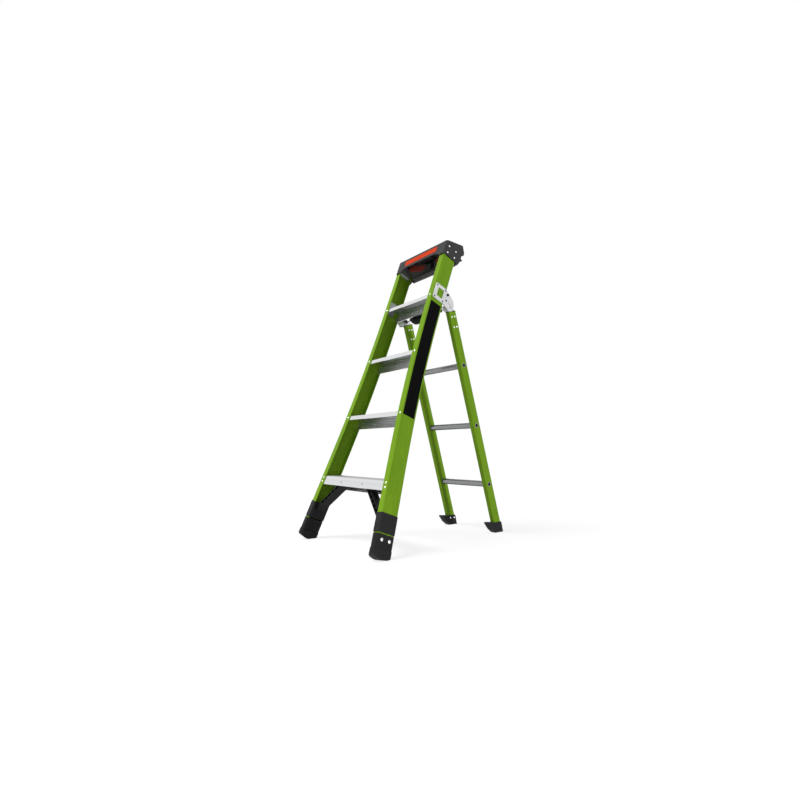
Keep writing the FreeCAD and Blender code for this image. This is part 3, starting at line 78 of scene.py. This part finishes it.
# Rungs: the flutes, the neck through each rear rail, and the bore in it, whose inner faces
# are painted near-black as shade
RUNG_COUNT = 3
FLUTE_LIP = 0.0004
RUNG_NECK_RADIUS = 0.009
RUNG_BORE_RADIUS = 0.008
RUNG_NECK_LENGTH = 0.0235
RUNG_BORE_DEPTH = 0.06
RUNG_BORE_SHADE_DEPTH = 0.04
RUNG_END_LEAST_AREA = 0.0003

# Main view, and where the two soft lights come from
CAMERA_PLACE = (1.714316, -1.473775, 0.408046)
CAMERA_PITCH = math.pi / 2 + 0.10941
CAMERA_HEADING = 0.88838
CAMERA_LENS = 20.779
KEY_TOWARDS = (-0.15, -0.50, 0.85)
KEY_SPREAD = 24.0
SIDE_TOWARDS = (1.0, 0.044, 0.12)
SIDE_SPREAD = 4.0

# Floor: what it throws back on the ladder, and what the camera sees of it
FLOOR_SIZE = 40.0
FLOOR_DROP = 0.0002
FLOOR_BOUNCE = 0.40
FLOOR_SHADE = 0.24
FLOOR_GLOW = 0.80


def front_place(across, back, up):
    """Point of the model from a point of the front section."""
    return Vector((across,
                   up * math.sin(FRONT_LEAN) + back * math.cos(FRONT_LEAN) - SECTION_MIDDLE_Y,
                   up * math.cos(FRONT_LEAN) - back * math.sin(FRONT_LEAN)))


def rail_half_width_at(up):
    """Half width over the front rails at a height along them."""
    sweep = (FLARE_TOP - FLARE_LOW) / math.sin(FLARE)
    if up >= FLARE_TOP:
        return RAIL_HALF_WIDTH
    if up >= FLARE_LOW:
        return RAIL_HALF_WIDTH + sweep - math.sqrt(sweep ** 2 - (FLARE_TOP - up) ** 2)
    low = RAIL_HALF_WIDTH + sweep * (1 - math.cos(FLARE))
    return low + (FLARE_LOW - up) * math.tan(FLARE)


# Sizes and colours that a user would change

class LadderSizes(bpy.types.PropertyGroup):
    flute_count: bpy.props.IntProperty(
        name="Rung flutes", description="Flutes round each rung", default=12, min=8, max=40)
    flute_depth: bpy.props.FloatProperty(
        name="Flute depth", description="Depth of the flutes in a rung",
        default=0.0013, min=0.0002, max=0.002, subtype="DISTANCE", unit="LENGTH")
    tread_bar_count: bpy.props.IntProperty(
        name="Tread bars", description="Raised bars across the top of each step",
        default=9, min=3, max=14)
    tread_bar_height: bpy.props.FloatProperty(
        name="Tread bar height", description="Height of the raised bars of a step",
        default=0.0012, min=0.0004, max=0.002, subtype="DISTANCE", unit="LENGTH")
    tread_bar_width: bpy.props.FloatProperty(
        name="Tread bar width", description="Width of the raised bars of a step",
        default=0.0034, min=0.001, max=0.006, subtype="DISTANCE", unit="LENGTH")
    under_rib_count: bpy.props.IntProperty(
        name="Under ribs", description="Stiffening ribs under each step",
        default=4, min=1, max=8)
    under_rib_height: bpy.props.FloatProperty(
        name="Under rib height", description="Height of the ribs under a step",
        default=0.003, min=0.001, max=0.006, subtype="DISTANCE", unit="LENGTH")


class LadderColours(bpy.types.PropertyGroup):
    fibreglass: bpy.props.FloatVectorProperty(
        name="Fibreglass", description="Lime green of the rails", subtype="COLOR",
        size=3, min=0, max=1, default=(0.240, 0.452, 0.020))
    aluminium: bpy.props.FloatVectorProperty(
        name="Aluminium", description="Mill finish of the steps and rungs", subtype="COLOR",
        size=3, min=0, max=1, default=(0.76, 0.765, 0.775))
    rung_grey: bpy.props.FloatVectorProperty(
        name="Rung grey", description="Duller metal of the fluted rungs", subtype="COLOR",
        size=3, min=0, max=1, default=(0.31, 0.315, 0.318))
    hinge_silver: bpy.props.FloatVectorProperty(
        name="Hinge silver", description="Coating of the hinge plates", subtype="COLOR",
        size=3, min=0, max=1, default=(0.92, 0.925, 0.935))
    rubber: bpy.props.FloatVectorProperty(
        name="Rubber", description="Black of boots and shoes", subtype="COLOR",
        size=3, min=0, max=1, default=(0.0080, 0.0080, 0.0083))
    cap_charcoal: bpy.props.FloatVectorProperty(
        name="Cap charcoal", description="Moulded plastic of the top cap", subtype="COLOR",
        size=3, min=0, max=1, default=(0.023, 0.023, 0.024))
    pad_red: bpy.props.FloatVectorProperty(
        name="Pad red", description="Dark red bands of the wall pad", subtype="COLOR",
        size=3, min=0, max=1, default=(0.46, 0.058, 0.028))
    bar_orange: bpy.props.FloatVectorProperty(
        name="Bar orange", description="Plain bar on the front of the cap", subtype="COLOR",
        size=3, min=0, max=1, default=(0.80, 0.068, 0.014))


class LadderStage(bpy.types.PropertyGroup):
    key_level: bpy.props.FloatProperty(
        name="Key light", description="Level of the soft light from above the front",
        default=2.45, min=0, max=10)
    side_level: bpy.props.FloatProperty(
        name="Side light", description="Level of the soft light from the right",
        default=1.05, min=0, max=10)
    fill_level: bpy.props.FloatProperty(
        name="Fill", description="Level of the even light from all round",
        default=0.23, min=0, max=2)


def sizes():
    return bpy.context.scene.ladder_sizes


def colours():
    return bpy.context.scene.ladder_colours


# Materials

class Finish:
    """A material under construction: its shader and short ways to add nodes."""

    def __init__(self, name):
        self.material = bpy.data.materials.new(name)
        self.material.use_nodes = True
        self.tree = self.material.node_tree
        self.tree.nodes.clear()
        self.shader = self.add("ShaderNodeBsdfPrincipled")
        output = self.add("ShaderNodeOutputMaterial")
        self.join(self.shader.outputs["BSDF"], output.inputs["Surface"])
        self.place = self.add("ShaderNodeTexCoord").outputs["Object"]

    def add(self, kind, **settings):
        node = self.tree.nodes.new(kind)
        for name, value in settings.items():
            setattr(node, name, value)
        return node

    def join(self, start, end):
        self.tree.links.new(start, end)

    def turned(self, angle):
        """Object coordinates turned about X, so that Z follows a leaning rail."""
        node = self.add("ShaderNodeMapping")
        node.inputs["Rotation"].default_value = (angle, 0, 0)
        self.join(self.place, node.inputs["Vector"])
        return node.outputs["Vector"]

    def scaled(self, vector, scale):
        node = self.add("ShaderNodeMapping")
        node.inputs["Scale"].default_value = scale
        self.join(vector, node.inputs["Vector"])
        return node.outputs["Vector"]

    def noise(self, vector, scale, detail=3.0):
        node = self.add("ShaderNodeTexNoise")
        node.inputs["Scale"].default_value = scale
        node.inputs["Detail"].default_value = detail
        node.inputs["Roughness"].default_value = 0.55
        self.join(vector, node.inputs["Vector"])
        return node.outputs["Fac"]

    def bands(self, vector, scale):
        """Even bands across X."""
        node = self.add("ShaderNodeTexWave", wave_type="BANDS", bands_direction="X")
        node.inputs["Scale"].default_value = scale
        self.join(vector, node.inputs["Vector"])
        return node.outputs["Fac"]

    def ramp(self, value, stops):
        """Colours over a value: (position, colour) pairs."""
        node = self.add("ShaderNodeValToRGB")
        elements = node.color_ramp.elements
        while len(elements) < len(stops):
            elements.new(0.5)
        for element, (position, colour) in zip(elements, stops):
            element.position = position
            element.color = (*colour, 1.0)
        self.join(value, node.inputs["Fac"])
        return node.outputs["Color"]

    def spread(self, value, low, high, from_low=0.3, from_high=0.7):
        node = self.add("ShaderNodeMapRange")
        node.inputs["From Min"].default_value = from_low
        node.inputs["From Max"].default_value = from_high
        node.inputs["To Min"].default_value = low
        node.inputs["To Max"].default_value = high
        self.join(value, node.inputs["Value"])
        return node.outputs["Result"]

    def mix_node(self, mode, first, second):
        node = self.add("ShaderNodeMix", data_type="RGBA", blend_type=mode)
        node.inputs["Factor"].default_value = 1.0
        self.join(first, node.inputs[6])
        self.join(second, node.inputs[7])
        return node

    def mixed(self, factor, first, second):
        node = self.mix_node("MIX", first, second)
        self.join(factor, node.inputs["Factor"])
        return node.outputs[2]

    def multiplied(self, first, second):
        return self.mix_node("MULTIPLY", first, second).outputs[2]

    def bump(self, height, strength, distance, below=None):
        node = self.add("ShaderNodeBump")
        node.inputs["Strength"].default_value = strength
        node.inputs["Distance"].default_value = distance
        self.join(height, node.inputs["Height"])
        if below is not None:
            self.join(below, node.inputs["Normal"])
        return node.outputs["Normal"]

    def worn_edges(self):
        """1 along convex edges, 0 on flat faces."""
        node = self.add("ShaderNodeNewGeometry")
        return self.spread(node.outputs["Pointiness"], 0.0, 1.0, 0.52, 0.62)

    def surface(self, colour, roughness, normal):
        self.join(colour, self.shader.inputs["Base Color"])
        self.join(roughness, self.shader.inputs["Roughness"])
        self.join(normal, self.shader.inputs["Normal"])


def shade(colour, amount):
    return tuple(min(1.0, channel * amount) for channel in colour)


def fibreglass_finish(name, lean):
    """Pultruded fibreglass: lengthwise streaks, faint clouds and a satin gloss."""
    green = colours().fibreglass
    made = Finish(name)
    along = made.turned(lean)
    streaks = made.noise(made.scaled(along, (140.0, 140.0, 3.0)), 1.0, 5.0)
    clouds = made.noise(made.scaled(along, (14.0, 14.0, 4.0)), 1.0, 3.0)
    body = made.ramp(streaks, [(0.30, shade(green, 0.90)), (0.52, green),
                               (0.74, shade(green, 1.09))])
    tint = made.ramp(clouds, [(0.34, (0.86, 0.90, 0.80)), (0.66, (1.03, 1.02, 1.0))])
    made.surface(made.multiplied(body, tint), made.spread(streaks, 0.34, 0.50),
                 made.bump(streaks, 0.16, 0.0004))
    made.shader.inputs["Specular IOR Level"].default_value = 0.08
    return made.material


def aluminium_finish(name, colour, metallic, streak_scale, roughness, scuffs=0.05):
    """Extruded aluminium: fine draw lines across the ladder and a little dulling."""
    made = Finish(name)
    lines = made.noise(made.scaled(made.place, streak_scale), 1.0, 2.0)
    dull = made.noise(made.scaled(made.place, streak_scale), 0.12, 2.0)
    body = made.ramp(lines, [(0.25, shade(colour, 0.90)), (0.55, colour),
                             (0.80, shade(colour, 1.05))])
    white = (1.0, 1.0, 1.0)
    wear = made.ramp(dull, [(0.35, shade(white, 1.0 - scuffs)), (0.62, white)])
    made.surface(made.multiplied(body, wear),
                 made.spread(dull, roughness + 0.03, roughness - 0.02),
                 made.bump(lines, 0.05, 0.0001))
    made.shader.inputs["Metallic"].default_value = metallic
    made.shader.inputs["Specular IOR Level"].default_value = 0.20
    return made.material


def moulded_finish(name, colour, roughness, grain, bump_strength, level=0.15):
    """Moulded plastic or rubber: fine spark grain, paler where edges are rubbed."""
    made = Finish(name)
    cells = made.noise(made.place, grain, 3.0)
    patches = made.noise(made.place, 26.0, 3.0)
    body = made.ramp(patches, [(0.30, shade(colour, 0.82)), (0.70, shade(colour, 1.18))])
    rubbed = made.ramp(cells, [(0.20, shade(colour, 1.7)), (0.80, shade(colour, 2.4))])
    made.surface(made.mixed(made.worn_edges(), body, rubbed),
                 made.spread(patches, roughness - 0.05, roughness + 0.07),
                 made.bump(cells, bump_strength, 0.0003))
    made.shader.inputs["Specular IOR Level"].default_value = level
    return made.material


def ribbed_red_finish():
    """Dark red rubber with upright ribs; the colour follows the rib relief, with painted
    shade in the grooves and a painted highlight on the crests.
    """
    red = colours().pad_red
    made = Finish("ribbed_red_rubber")
    ribs = made.bands(made.place, 45.0)
    grain = made.noise(made.place, 420.0)
    # Colour bands follow the rib bump: painted shade in the grooves (0.45 of the red),
    # painted highlight on the crests (1.25 of the red).
    body = made.ramp(ribs, [(0.15, shade(red, 0.45)), (0.55, red), (0.90, shade(red, 1.25))])
    fine = made.bump(grain, 0.10, 0.0002)
    made.surface(body, made.spread(grain, 0.50, 0.66), made.bump(ribs, 0.6, 0.0012, fine))
    return made.material


def film_finish(name, colour, roughness):
    """Printed film: almost even, with the faint waves of a hand-laid sticker."""
    made = Finish(name)
    waves = made.noise(made.place, 16.0, 2.0)
    dust = made.noise(made.place, 260.0, 4.0)
    body = made.ramp(dust, [(0.30, shade(colour, 0.90)), (0.75, shade(colour, 1.10))])
    made.surface(body, made.spread(dust, roughness, roughness + 0.12),
                 made.bump(waves, 0.10, 0.0010))
    made.shader.inputs["Specular IOR Level"].default_value = 0.03
    return made.material


def steel_finish(name, colour, roughness):
    """Turned or plated steel of screws, pins and rivets."""
    made = Finish(name)
    lathe = made.noise(made.scaled(made.place, (600.0, 600.0, 600.0)), 1.0, 2.0)
    stain = made.noise(made.place, 90.0, 3.0)
    body = made.ramp(stain, [(0.30, shade(colour, 0.80)), (0.65, colour)])
    made.surface(body, made.spread(lathe, roughness - 0.06, roughness + 0.10),
                 made.bump(lathe, 0.08, 0.0002))
    made.shader.inputs["Metallic"].default_value = 0.75
    return made.material


def paint(names, material):
    """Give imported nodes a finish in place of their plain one."""
    for name in names:
        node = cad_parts.get(name)
        if node is None:
            raise RuntimeError("the model has no node " + name)
        if not node.material_slots:
            node.data.materials.append(material)
        for slot in node.material_slots:
            slot.material = material


def pair(name):
    return [name + "_right", name + "_left"]


# Modelling

def start_fresh():
    if bpy.context.mode != "OBJECT":
        bpy.ops.object.mode_set(mode="OBJECT")
    bpy.ops.object.select_all(action="DESELECT")
    bpy.context.tool_settings.mesh_select_mode = (False, False, True)


def take_faces(piece, wanted):
    """Go to edit mode with only the faces that pass a test selected."""
    bpy.ops.object.mode_set(mode="OBJECT")
    mesh = piece.data
    for group in (mesh.vertices, mesh.edges, mesh.polygons):
        for item in group:
            item.select = False
    for face in mesh.polygons:
        face.select = bool(wanted(face))
    bpy.ops.object.mode_set(mode="EDIT")


def settle(piece, name, smooth_angle=35.0):
    """Leave edit mode with the place in the mesh, the faces outwards and the edges crisp."""
    bpy.ops.object.mode_set(mode="EDIT")
    bpy.ops.mesh.select_all(action="SELECT")
    bpy.ops.mesh.normals_make_consistent(inside=False)
    bpy.ops.object.mode_set(mode="OBJECT")
    bpy.ops.object.transform_apply(location=True, rotation=True, scale=True)
    bpy.ops.object.shade_smooth_by_angle(angle=math.radians(smooth_angle))
    piece.name = name
    piece.data.name = name
    return piece


def copy_at(piece, matrix):
    twin = piece.copy()
    twin.data = piece.data.copy()
    twin.data.transform(matrix)
    bpy.context.collection.objects.link(twin)
    return twin


def join_pieces(pieces, name):
    bpy.ops.object.select_all(action="DESELECT")
    for piece in pieces:
        piece.select_set(True)
    bpy.context.view_layer.objects.active = pieces[0]
    bpy.ops.object.join()
    pieces[0].name = name
    pieces[0].data.name = name
    return pieces[0]


def bevelled_bar(length, width, height):
    """Bar along X with its upper edges rounded, resting on z = 0 at the origin."""
    start_fresh()
    bpy.ops.mesh.primitive_cube_add(size=1.0, location=(0, 0, height / 2))
    bar = bpy.context.active_object
    bar.scale = (length, width, height)
    bpy.ops.object.transform_apply(location=True, rotation=True, scale=True)
    take_faces(bar, lambda face: face.normal.z > 0.9)
    bpy.ops.mesh.bevel(offset=min(width, height) * EDGE_ROUNDING, segments=2, affect="EDGES")
    return settle(bar, "bar")


def fluted_rung(name):
    """Fluted tube with a neck through each rear rail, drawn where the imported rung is."""
    low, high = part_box(name)
    middle = (low + high) / 2
    radius = (high.z - low.z) / 2
    inner = high.x - RUNG_NECK_LENGTH
    count = sizes().flute_count
    start_fresh()
    bpy.ops.mesh.primitive_cylinder_add(
        vertices=2 * count, radius=radius, depth=2 * inner, end_fill_type="NGON",
        location=middle, rotation=(0, math.pi / 2, 0))
    piece = bpy.context.active_object
    bpy.ops.object.transform_apply(location=True, rotation=True, scale=True)
    step = math.pi / count

    def is_flute(face):
        if abs(face.normal.x) > 0.5:
            return False
        turn = math.atan2(face.normal.z, face.normal.y) / step - 0.5
        return round(turn) % 2 == 0
    take_faces(piece, is_flute)
    bpy.ops.mesh.inset(thickness=FLUTE_LIP, depth=-sizes().flute_depth, use_individual=True)
    for side in (-1, 1):
        take_faces(piece, lambda face: face.normal.x * side > 0.9
                   and abs(face.center.x - side * inner) < 0.001
                   and face.area > RUNG_END_LEAST_AREA)
        bpy.ops.mesh.inset(thickness=radius - RUNG_NECK_RADIUS, depth=0)
        bpy.ops.mesh.extrude_region_move(
            TRANSFORM_OT_translate={"value": (side * RUNG_NECK_LENGTH, 0, 0)})
        bpy.ops.mesh.inset(thickness=RUNG_NECK_RADIUS - RUNG_BORE_RADIUS, depth=0)
        bpy.ops.mesh.extrude_region_move(
            TRANSFORM_OT_translate={"value": (-side * RUNG_BORE_DEPTH, 0, 0)})
    settle(piece, "fluted_" + name, 25.0)
    # Faces inside the bore get the second material, a near-black painted shade in the hole.
    for face in piece.data.polygons:
        from_axis = math.hypot(face.center.y - middle.y, face.center.z - middle.z)
        in_painted_bore = abs(face.center.x) > inner - RUNG_BORE_SHADE_DEPTH
        if from_axis < RUNG_BORE_RADIUS + 0.0002 and in_painted_bore:
            face.material_index = 1
    return piece


def step_bars(index):
    """Raised bars on the tread and ribs on the inner faces of one step."""
    up = STEP_FIRST + index * STEP_PITCH
    rise = (STEP_REAR - STEP_FRONT) * math.tan(FRONT_LEAN)
    half = rail_half_width_at(up + TREAD_RISE + rise) - STEP_SIDE - BAR_END_GAP
    front = front_place(0, STEP_FRONT, up + TREAD_RISE)
    depth = (STEP_REAR - STEP_FRONT) / math.cos(FRONT_LEAN)
    made = []
    settings = sizes()
    bar = bevelled_bar(2 * half, settings.tread_bar_width, settings.tread_bar_height)
    for number in range(settings.tread_bar_count):
        y = front.y + depth * (number + 0.5) / settings.tread_bar_count
        made.append(copy_at(bar, Matrix.Translation((0, y, front.z))))
    bpy.data.objects.remove(bar)
    rib = bevelled_bar(2 * (half - RIB_END_GAP), RIB_WIDTH, settings.under_rib_height)
    for number in range(settings.under_rib_count):
        y = front.y + depth * (number + 1) / (settings.under_rib_count + 1)
        under = Matrix.Translation((0, y, front.z - STEP_WALL))
        made.append(copy_at(rib, under @ Matrix.Rotation(math.pi, 4, "X")))
    lean = Matrix.Rotation(-FRONT_LEAN, 4, "X") @ Matrix.Rotation(math.pi / 2, 4, "X")
    lowered = Matrix.Scale(APRON_RIB_SHARE, 4, (0, 0, 1))
    for drop in APRON_RIB_DROPS:
        spot = front_place(0, STEP_REAR - STEP_WALL, up - drop)
        made.append(copy_at(rib, Matrix.Translation(spot) @ lean @ lowered))
    bpy.data.objects.remove(rib)
    return join_pieces(made, "step_bars_%d" % (index + 1))


# Operators

class LADDER_OT_fibreglass_rails(bpy.types.Operator):
    """Give the front and rear rails their streaked green fibreglass"""
    bl_idname = "ladder.fibreglass_rails"
    bl_label = "Fibreglass Rails"

    def execute(self, context):
        paint(pair("front_rail"), fibreglass_finish("front_fibreglass", FRONT_LEAN))
        paint(pair("rear_rail"), fibreglass_finish("rear_fibreglass", -REAR_LEAN))
        green = colours().fibreglass
        # The step end brackets get 0.46 of the rail green: a painted shade and a painted
        # green reflection of the shaded inner web, not a paint of their own.
        paint(["step_end_brackets"],
              moulded_finish("bracket_painted_shade", shade(green, 0.46), 0.46, 240.0, 0.08))
        return {"FINISHED"}


class LADDER_OT_steps(bpy.types.Operator):
    """Finish the aluminium steps and add their tread bars and ribs"""
    bl_idname = "ladder.steps"
    bl_label = "Steps"

    def execute(self, context):
        metal = aluminium_finish("step_aluminium", colours().aluminium, 0.90,
                                 (1.2, 420.0, 420.0), 0.24)
        paint(["step_%d" % (number + 1) for number in range(STEP_COUNT)], metal)
        # Tread bars, under ribs and apron ribs share aluminium darkened to 0.62: wear on the
        # tread bars, and painted shade on the ribs under the step and inside the apron.
        wear_and_painted_shade = aluminium_finish("tread_aluminium", shade(colours().aluminium, 0.62), 0.70,
                                (1.2, 420.0, 420.0), 0.38)
        for index in range(STEP_COUNT):
            bars = step_bars(index)
            bars.data.materials.clear()
            bars.data.materials.append(wear_and_painted_shade)
            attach(bars, "front_section")
        return {"FINISHED"}


class LADDER_OT_rungs(bpy.types.Operator):
    """Model the fluted rungs of the rear section"""
    bl_idname = "ladder.rungs"
    bl_label = "Rungs"

    def execute(self, context):
        metal = aluminium_finish("rung_aluminium", colours().rung_grey, 0.85,
                                 (1.0, 360.0, 360.0), 0.20, 0.08)
        # The bore material is a painted shade: near-black in place of the tube's own metal
        # inside the hole.
        bore_shade = moulded_finish("rung_hollow", (0.012, 0.012, 0.012), 0.7, 300.0, 0.10, 0.05)
        for number in range(RUNG_COUNT):
            name = "rung_%d" % (number + 1)
            rung = fluted_rung(name)
            rung.data.materials.append(metal)
            rung.data.materials.append(bore_shade)
            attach(rung, "rear_section")
            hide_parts(name)
        paint(["rung_ferrules"], steel_finish("ferrule_metal", (0.34, 0.34, 0.345), 0.46))
        return {"FINISHED"}


class LADDER_OT_hinges(bpy.types.Operator):
    """Finish hinge plates, arms, screws, pins and rivets"""
    bl_idname = "ladder.hinges"
    bl_label = "Hinges and Fasteners"

    def execute(self, context):
        silver = aluminium_finish("hinge_silver", colours().hinge_silver, 0.15,
                                  (180.0, 180.0, 180.0), 0.52, 0.04)
        paint(pair("hinge_plate") + pair("hinge_arm"), silver)
        paint(pair("hinge_backing"), steel_finish("backing_steel", (0.42, 0.43, 0.44), 0.42))
        dark = steel_finish("dark_screw_steel", (0.10, 0.10, 0.105), 0.40)
        paint(["hinge_screws", "hinge_bolts"], dark)
        pin = steel_finish("pin_steel", (0.50, 0.50, 0.51), 0.34)
        paint(pair("hinge_pin") + pair("lock_rod") + ["handle_pin", "wall_pad_rod"], pin)
        bright = steel_finish("rivet_aluminium", (0.90, 0.90, 0.91), 0.34)
        paint(["step_rivets", "front_boot_rivets", "arm_rivets", "release_rivets",
               "cap_rivets", "rear_shoe_rivets"], bright)
        paint(["brace_bolts"], steel_finish("bolt_steel", (0.26, 0.26, 0.27), 0.36))
        return {"FINISHED"}


class LADDER_OT_black_parts(bpy.types.Operator):
    """Finish the cap, boots, braces, shoes and the release handle"""
    bl_idname = "ladder.black_parts"
    bl_label = "Cap, Boots and Braces"

    def execute(self, context):
        rubber = colours().rubber
        charcoal = colours().cap_charcoal
        boot = moulded_finish("boot_rubber", rubber, 0.56, 520.0, 0.22)
        paint(pair("front_boot") + pair("rear_shoe"), boot)
        nylon = moulded_finish("brace_nylon", shade(rubber, 1.05), 0.48, 700.0, 0.12)
        paint(pair("corner_brace") + pair("rail_plug"), nylon)
        paint(["hinge_bumpers", "lock_guides", "release_housing", "release_handle"], nylon)
        paint(["top_cap"], moulded_finish("cap_plastic", charcoal, 0.50, 620.0, 0.16))
        paint(["cap_inserts"], aluminium_finish("insert_metal", (0.42, 0.42, 0.42), 0.35,
                                                (200.0, 200.0, 200.0), 0.40))
        return {"FINISHED"}


class LADDER_OT_wall_pad(bpy.types.Operator):
    """Finish the wall pad and its ribbed red bands"""
    bl_idname = "ladder.wall_pad"
    bl_label = "Wall Pad"

    def execute(self, context):
        pad = moulded_finish("pad_rubber", (0.072, 0.070, 0.068), 0.50, 460.0, 0.20)
        paint(["wall_pad_body"], pad)
        paint(["wall_pad_grips"], ribbed_red_finish())
        return {"FINISHED"}


class LADDER_OT_films(bpy.types.Operator):
    """Finish the plain label and the plain bar on the cap"""
    bl_idname = "ladder.films"
    bl_label = "Plain Films"

    def execute(self, context):
        paint(["side_label"], film_finish("label_film", (0.0022, 0.0022, 0.0026), 0.42))
        paint(["cap_stripe"], film_finish("bar_film", colours().bar_orange, 0.36))
        return {"FINISHED"}


class LADDER_OT_stage(bpy.types.Operator):
    """Set up the camera, the soft lights, the pale floor and the white surroundings"""
    bl_idname = "ladder.stage"
    bl_label = "Stage"

    def execute(self, context):
        scene = context.scene
        scene.view_settings.view_transform = "Standard"
        levels = scene.ladder_stage
        view = bpy.data.cameras.new("camera")
        camera = bpy.data.objects.new("camera", view)
        camera.location = CAMERA_PLACE
        camera.rotation_euler = (CAMERA_PITCH, 0, CAMERA_HEADING)
        view.sensor_width = 36.0
        view.lens = CAMERA_LENS
        view.clip_start = 0.01
        scene.collection.objects.link(camera)
        scene.camera = camera
        for name, towards, level, spread in (
                ("key", KEY_TOWARDS, levels.key_level, KEY_SPREAD),
                ("side", SIDE_TOWARDS, levels.side_level, SIDE_SPREAD)):
            lamp = bpy.data.lights.new(name, "SUN")
            lamp.energy = level
            lamp.angle = math.radians(spread)
            light = bpy.data.objects.new(name, lamp)
            light.rotation_euler = Vector(towards).to_track_quat("Z", "Y").to_euler()
            scene.collection.objects.link(light)
        self.surroundings(scene, levels.fill_level)
        self.floor()
        return {"FINISHED"}

    def surroundings(self, scene, level):
        world = bpy.data.worlds.new("surroundings")
        world.use_nodes = True
        tree = world.node_tree
        tree.nodes.clear()
        path = tree.nodes.new("ShaderNodeLightPath")
        seen = self.seen(tree, path)
        fill = tree.nodes.new("ShaderNodeBackground")
        fill.inputs["Color"].default_value = (0.97, 0.98, 1.0, 1)
        fill.inputs["Strength"].default_value = level
        white = tree.nodes.new("ShaderNodeBackground")
        white.inputs["Color"].default_value = (1, 1, 1, 1)
        white.inputs["Strength"].default_value = 1.0
        mix = tree.nodes.new("ShaderNodeMixShader")
        output = tree.nodes.new("ShaderNodeOutputWorld")
        tree.links.new(seen, mix.inputs[0])
        tree.links.new(fill.outputs[0], mix.inputs[1])
        tree.links.new(white.outputs[0], mix.inputs[2])
        tree.links.new(mix.outputs[0], output.inputs["Surface"])
        scene.world = world

    def seen(self, tree, path):
        """1 for rays from the camera, from a gloss and through glass."""
        first = tree.nodes.new("ShaderNodeMath")
        first.operation = "MAXIMUM"
        tree.links.new(path.outputs["Is Camera Ray"], first.inputs[0])
        tree.links.new(path.outputs["Is Glossy Ray"], first.inputs[1])
        second = tree.nodes.new("ShaderNodeMath")
        second.operation = "MAXIMUM"
        tree.links.new(first.outputs[0], second.inputs[0])
        tree.links.new(path.outputs["Is Transmission Ray"], second.inputs[1])
        return second.outputs[0]

    def floor(self):
        start_fresh()
        bpy.ops.mesh.primitive_plane_add(size=FLOOR_SIZE, location=(0, 0, -FLOOR_DROP))
        floor = bpy.context.active_object
        floor.name = "floor"
        material = bpy.data.materials.new("pale_floor")
        material.use_nodes = True
        tree = material.node_tree
        tree.nodes.clear()
        path = tree.nodes.new("ShaderNodeLightPath")
        bounce = tree.nodes.new("ShaderNodeBsdfDiffuse")
        bounce.inputs["Color"].default_value = (FLOOR_BOUNCE, FLOOR_BOUNCE, FLOOR_BOUNCE, 1)
        shadow = tree.nodes.new("ShaderNodeBsdfDiffuse")
        shadow.inputs["Color"].default_value = (FLOOR_SHADE, FLOOR_SHADE, FLOOR_SHADE, 1)
        glow = tree.nodes.new("ShaderNodeEmission")
        glow.inputs["Strength"].default_value = FLOOR_GLOW
        both = tree.nodes.new("ShaderNodeAddShader")
        mix = tree.nodes.new("ShaderNodeMixShader")
        output = tree.nodes.new("ShaderNodeOutputMaterial")
        tree.links.new(shadow.outputs[0], both.inputs[0])
        tree.links.new(glow.outputs[0], both.inputs[1])
        tree.links.new(self.seen(tree, path), mix.inputs[0])
        tree.links.new(bounce.outputs[0], mix.inputs[1])
        tree.links.new(both.outputs[0], mix.inputs[2])
        tree.links.new(mix.outputs[0], output.inputs["Surface"])
        floor.data.materials.append(material)


class LADDER_PT_panel(bpy.types.Panel):
    bl_label = "Combination Ladder"
    bl_idname = "LADDER_PT_panel"
    bl_space_type = "VIEW_3D"
    bl_region_type = "UI"
    bl_category = "Ladder"

    def draw(self, context):
        layout = self.layout
        for group in (context.scene.ladder_sizes, context.scene.ladder_colours,
                      context.scene.ladder_stage):
            box = layout.box()
            for name in group.__annotations__:
                box.prop(group, name)
        for operator in OPERATORS:
            layout.operator(operator.bl_idname)


OPERATORS = (LADDER_OT_stage, LADDER_OT_fibreglass_rails, LADDER_OT_steps, LADDER_OT_rungs,
             LADDER_OT_hinges, LADDER_OT_black_parts, LADDER_OT_wall_pad, LADDER_OT_films)
GROUPS = (LadderSizes, LadderColours, LadderStage)


def register():
    for item in GROUPS + OPERATORS + (LADDER_PT_panel,):
        bpy.utils.register_class(item)
    bpy.types.Scene.ladder_sizes = bpy.props.PointerProperty(type=LadderSizes)
    bpy.types.Scene.ladder_colours = bpy.props.PointerProperty(type=LadderColours)
    bpy.types.Scene.ladder_stage = bpy.props.PointerProperty(type=LadderStage)


def unregister():
    del bpy.types.Scene.ladder_stage
    del bpy.types.Scene.ladder_colours
    del bpy.types.Scene.ladder_sizes
    for item in reversed(GROUPS + OPERATORS + (LADDER_PT_panel,)):
        bpy.utils.unregister_class(item)


def main():
    register()
    bpy.ops.ladder.stage()
    bpy.ops.ladder.fibreglass_rails()
    bpy.ops.ladder.steps()
    bpy.ops.ladder.rungs()
    bpy.ops.ladder.hinges()
    bpy.ops.ladder.black_parts()
    bpy.ops.ladder.wall_pad()
    bpy.ops.ladder.films()


if __name__ == "__main__":
    main()
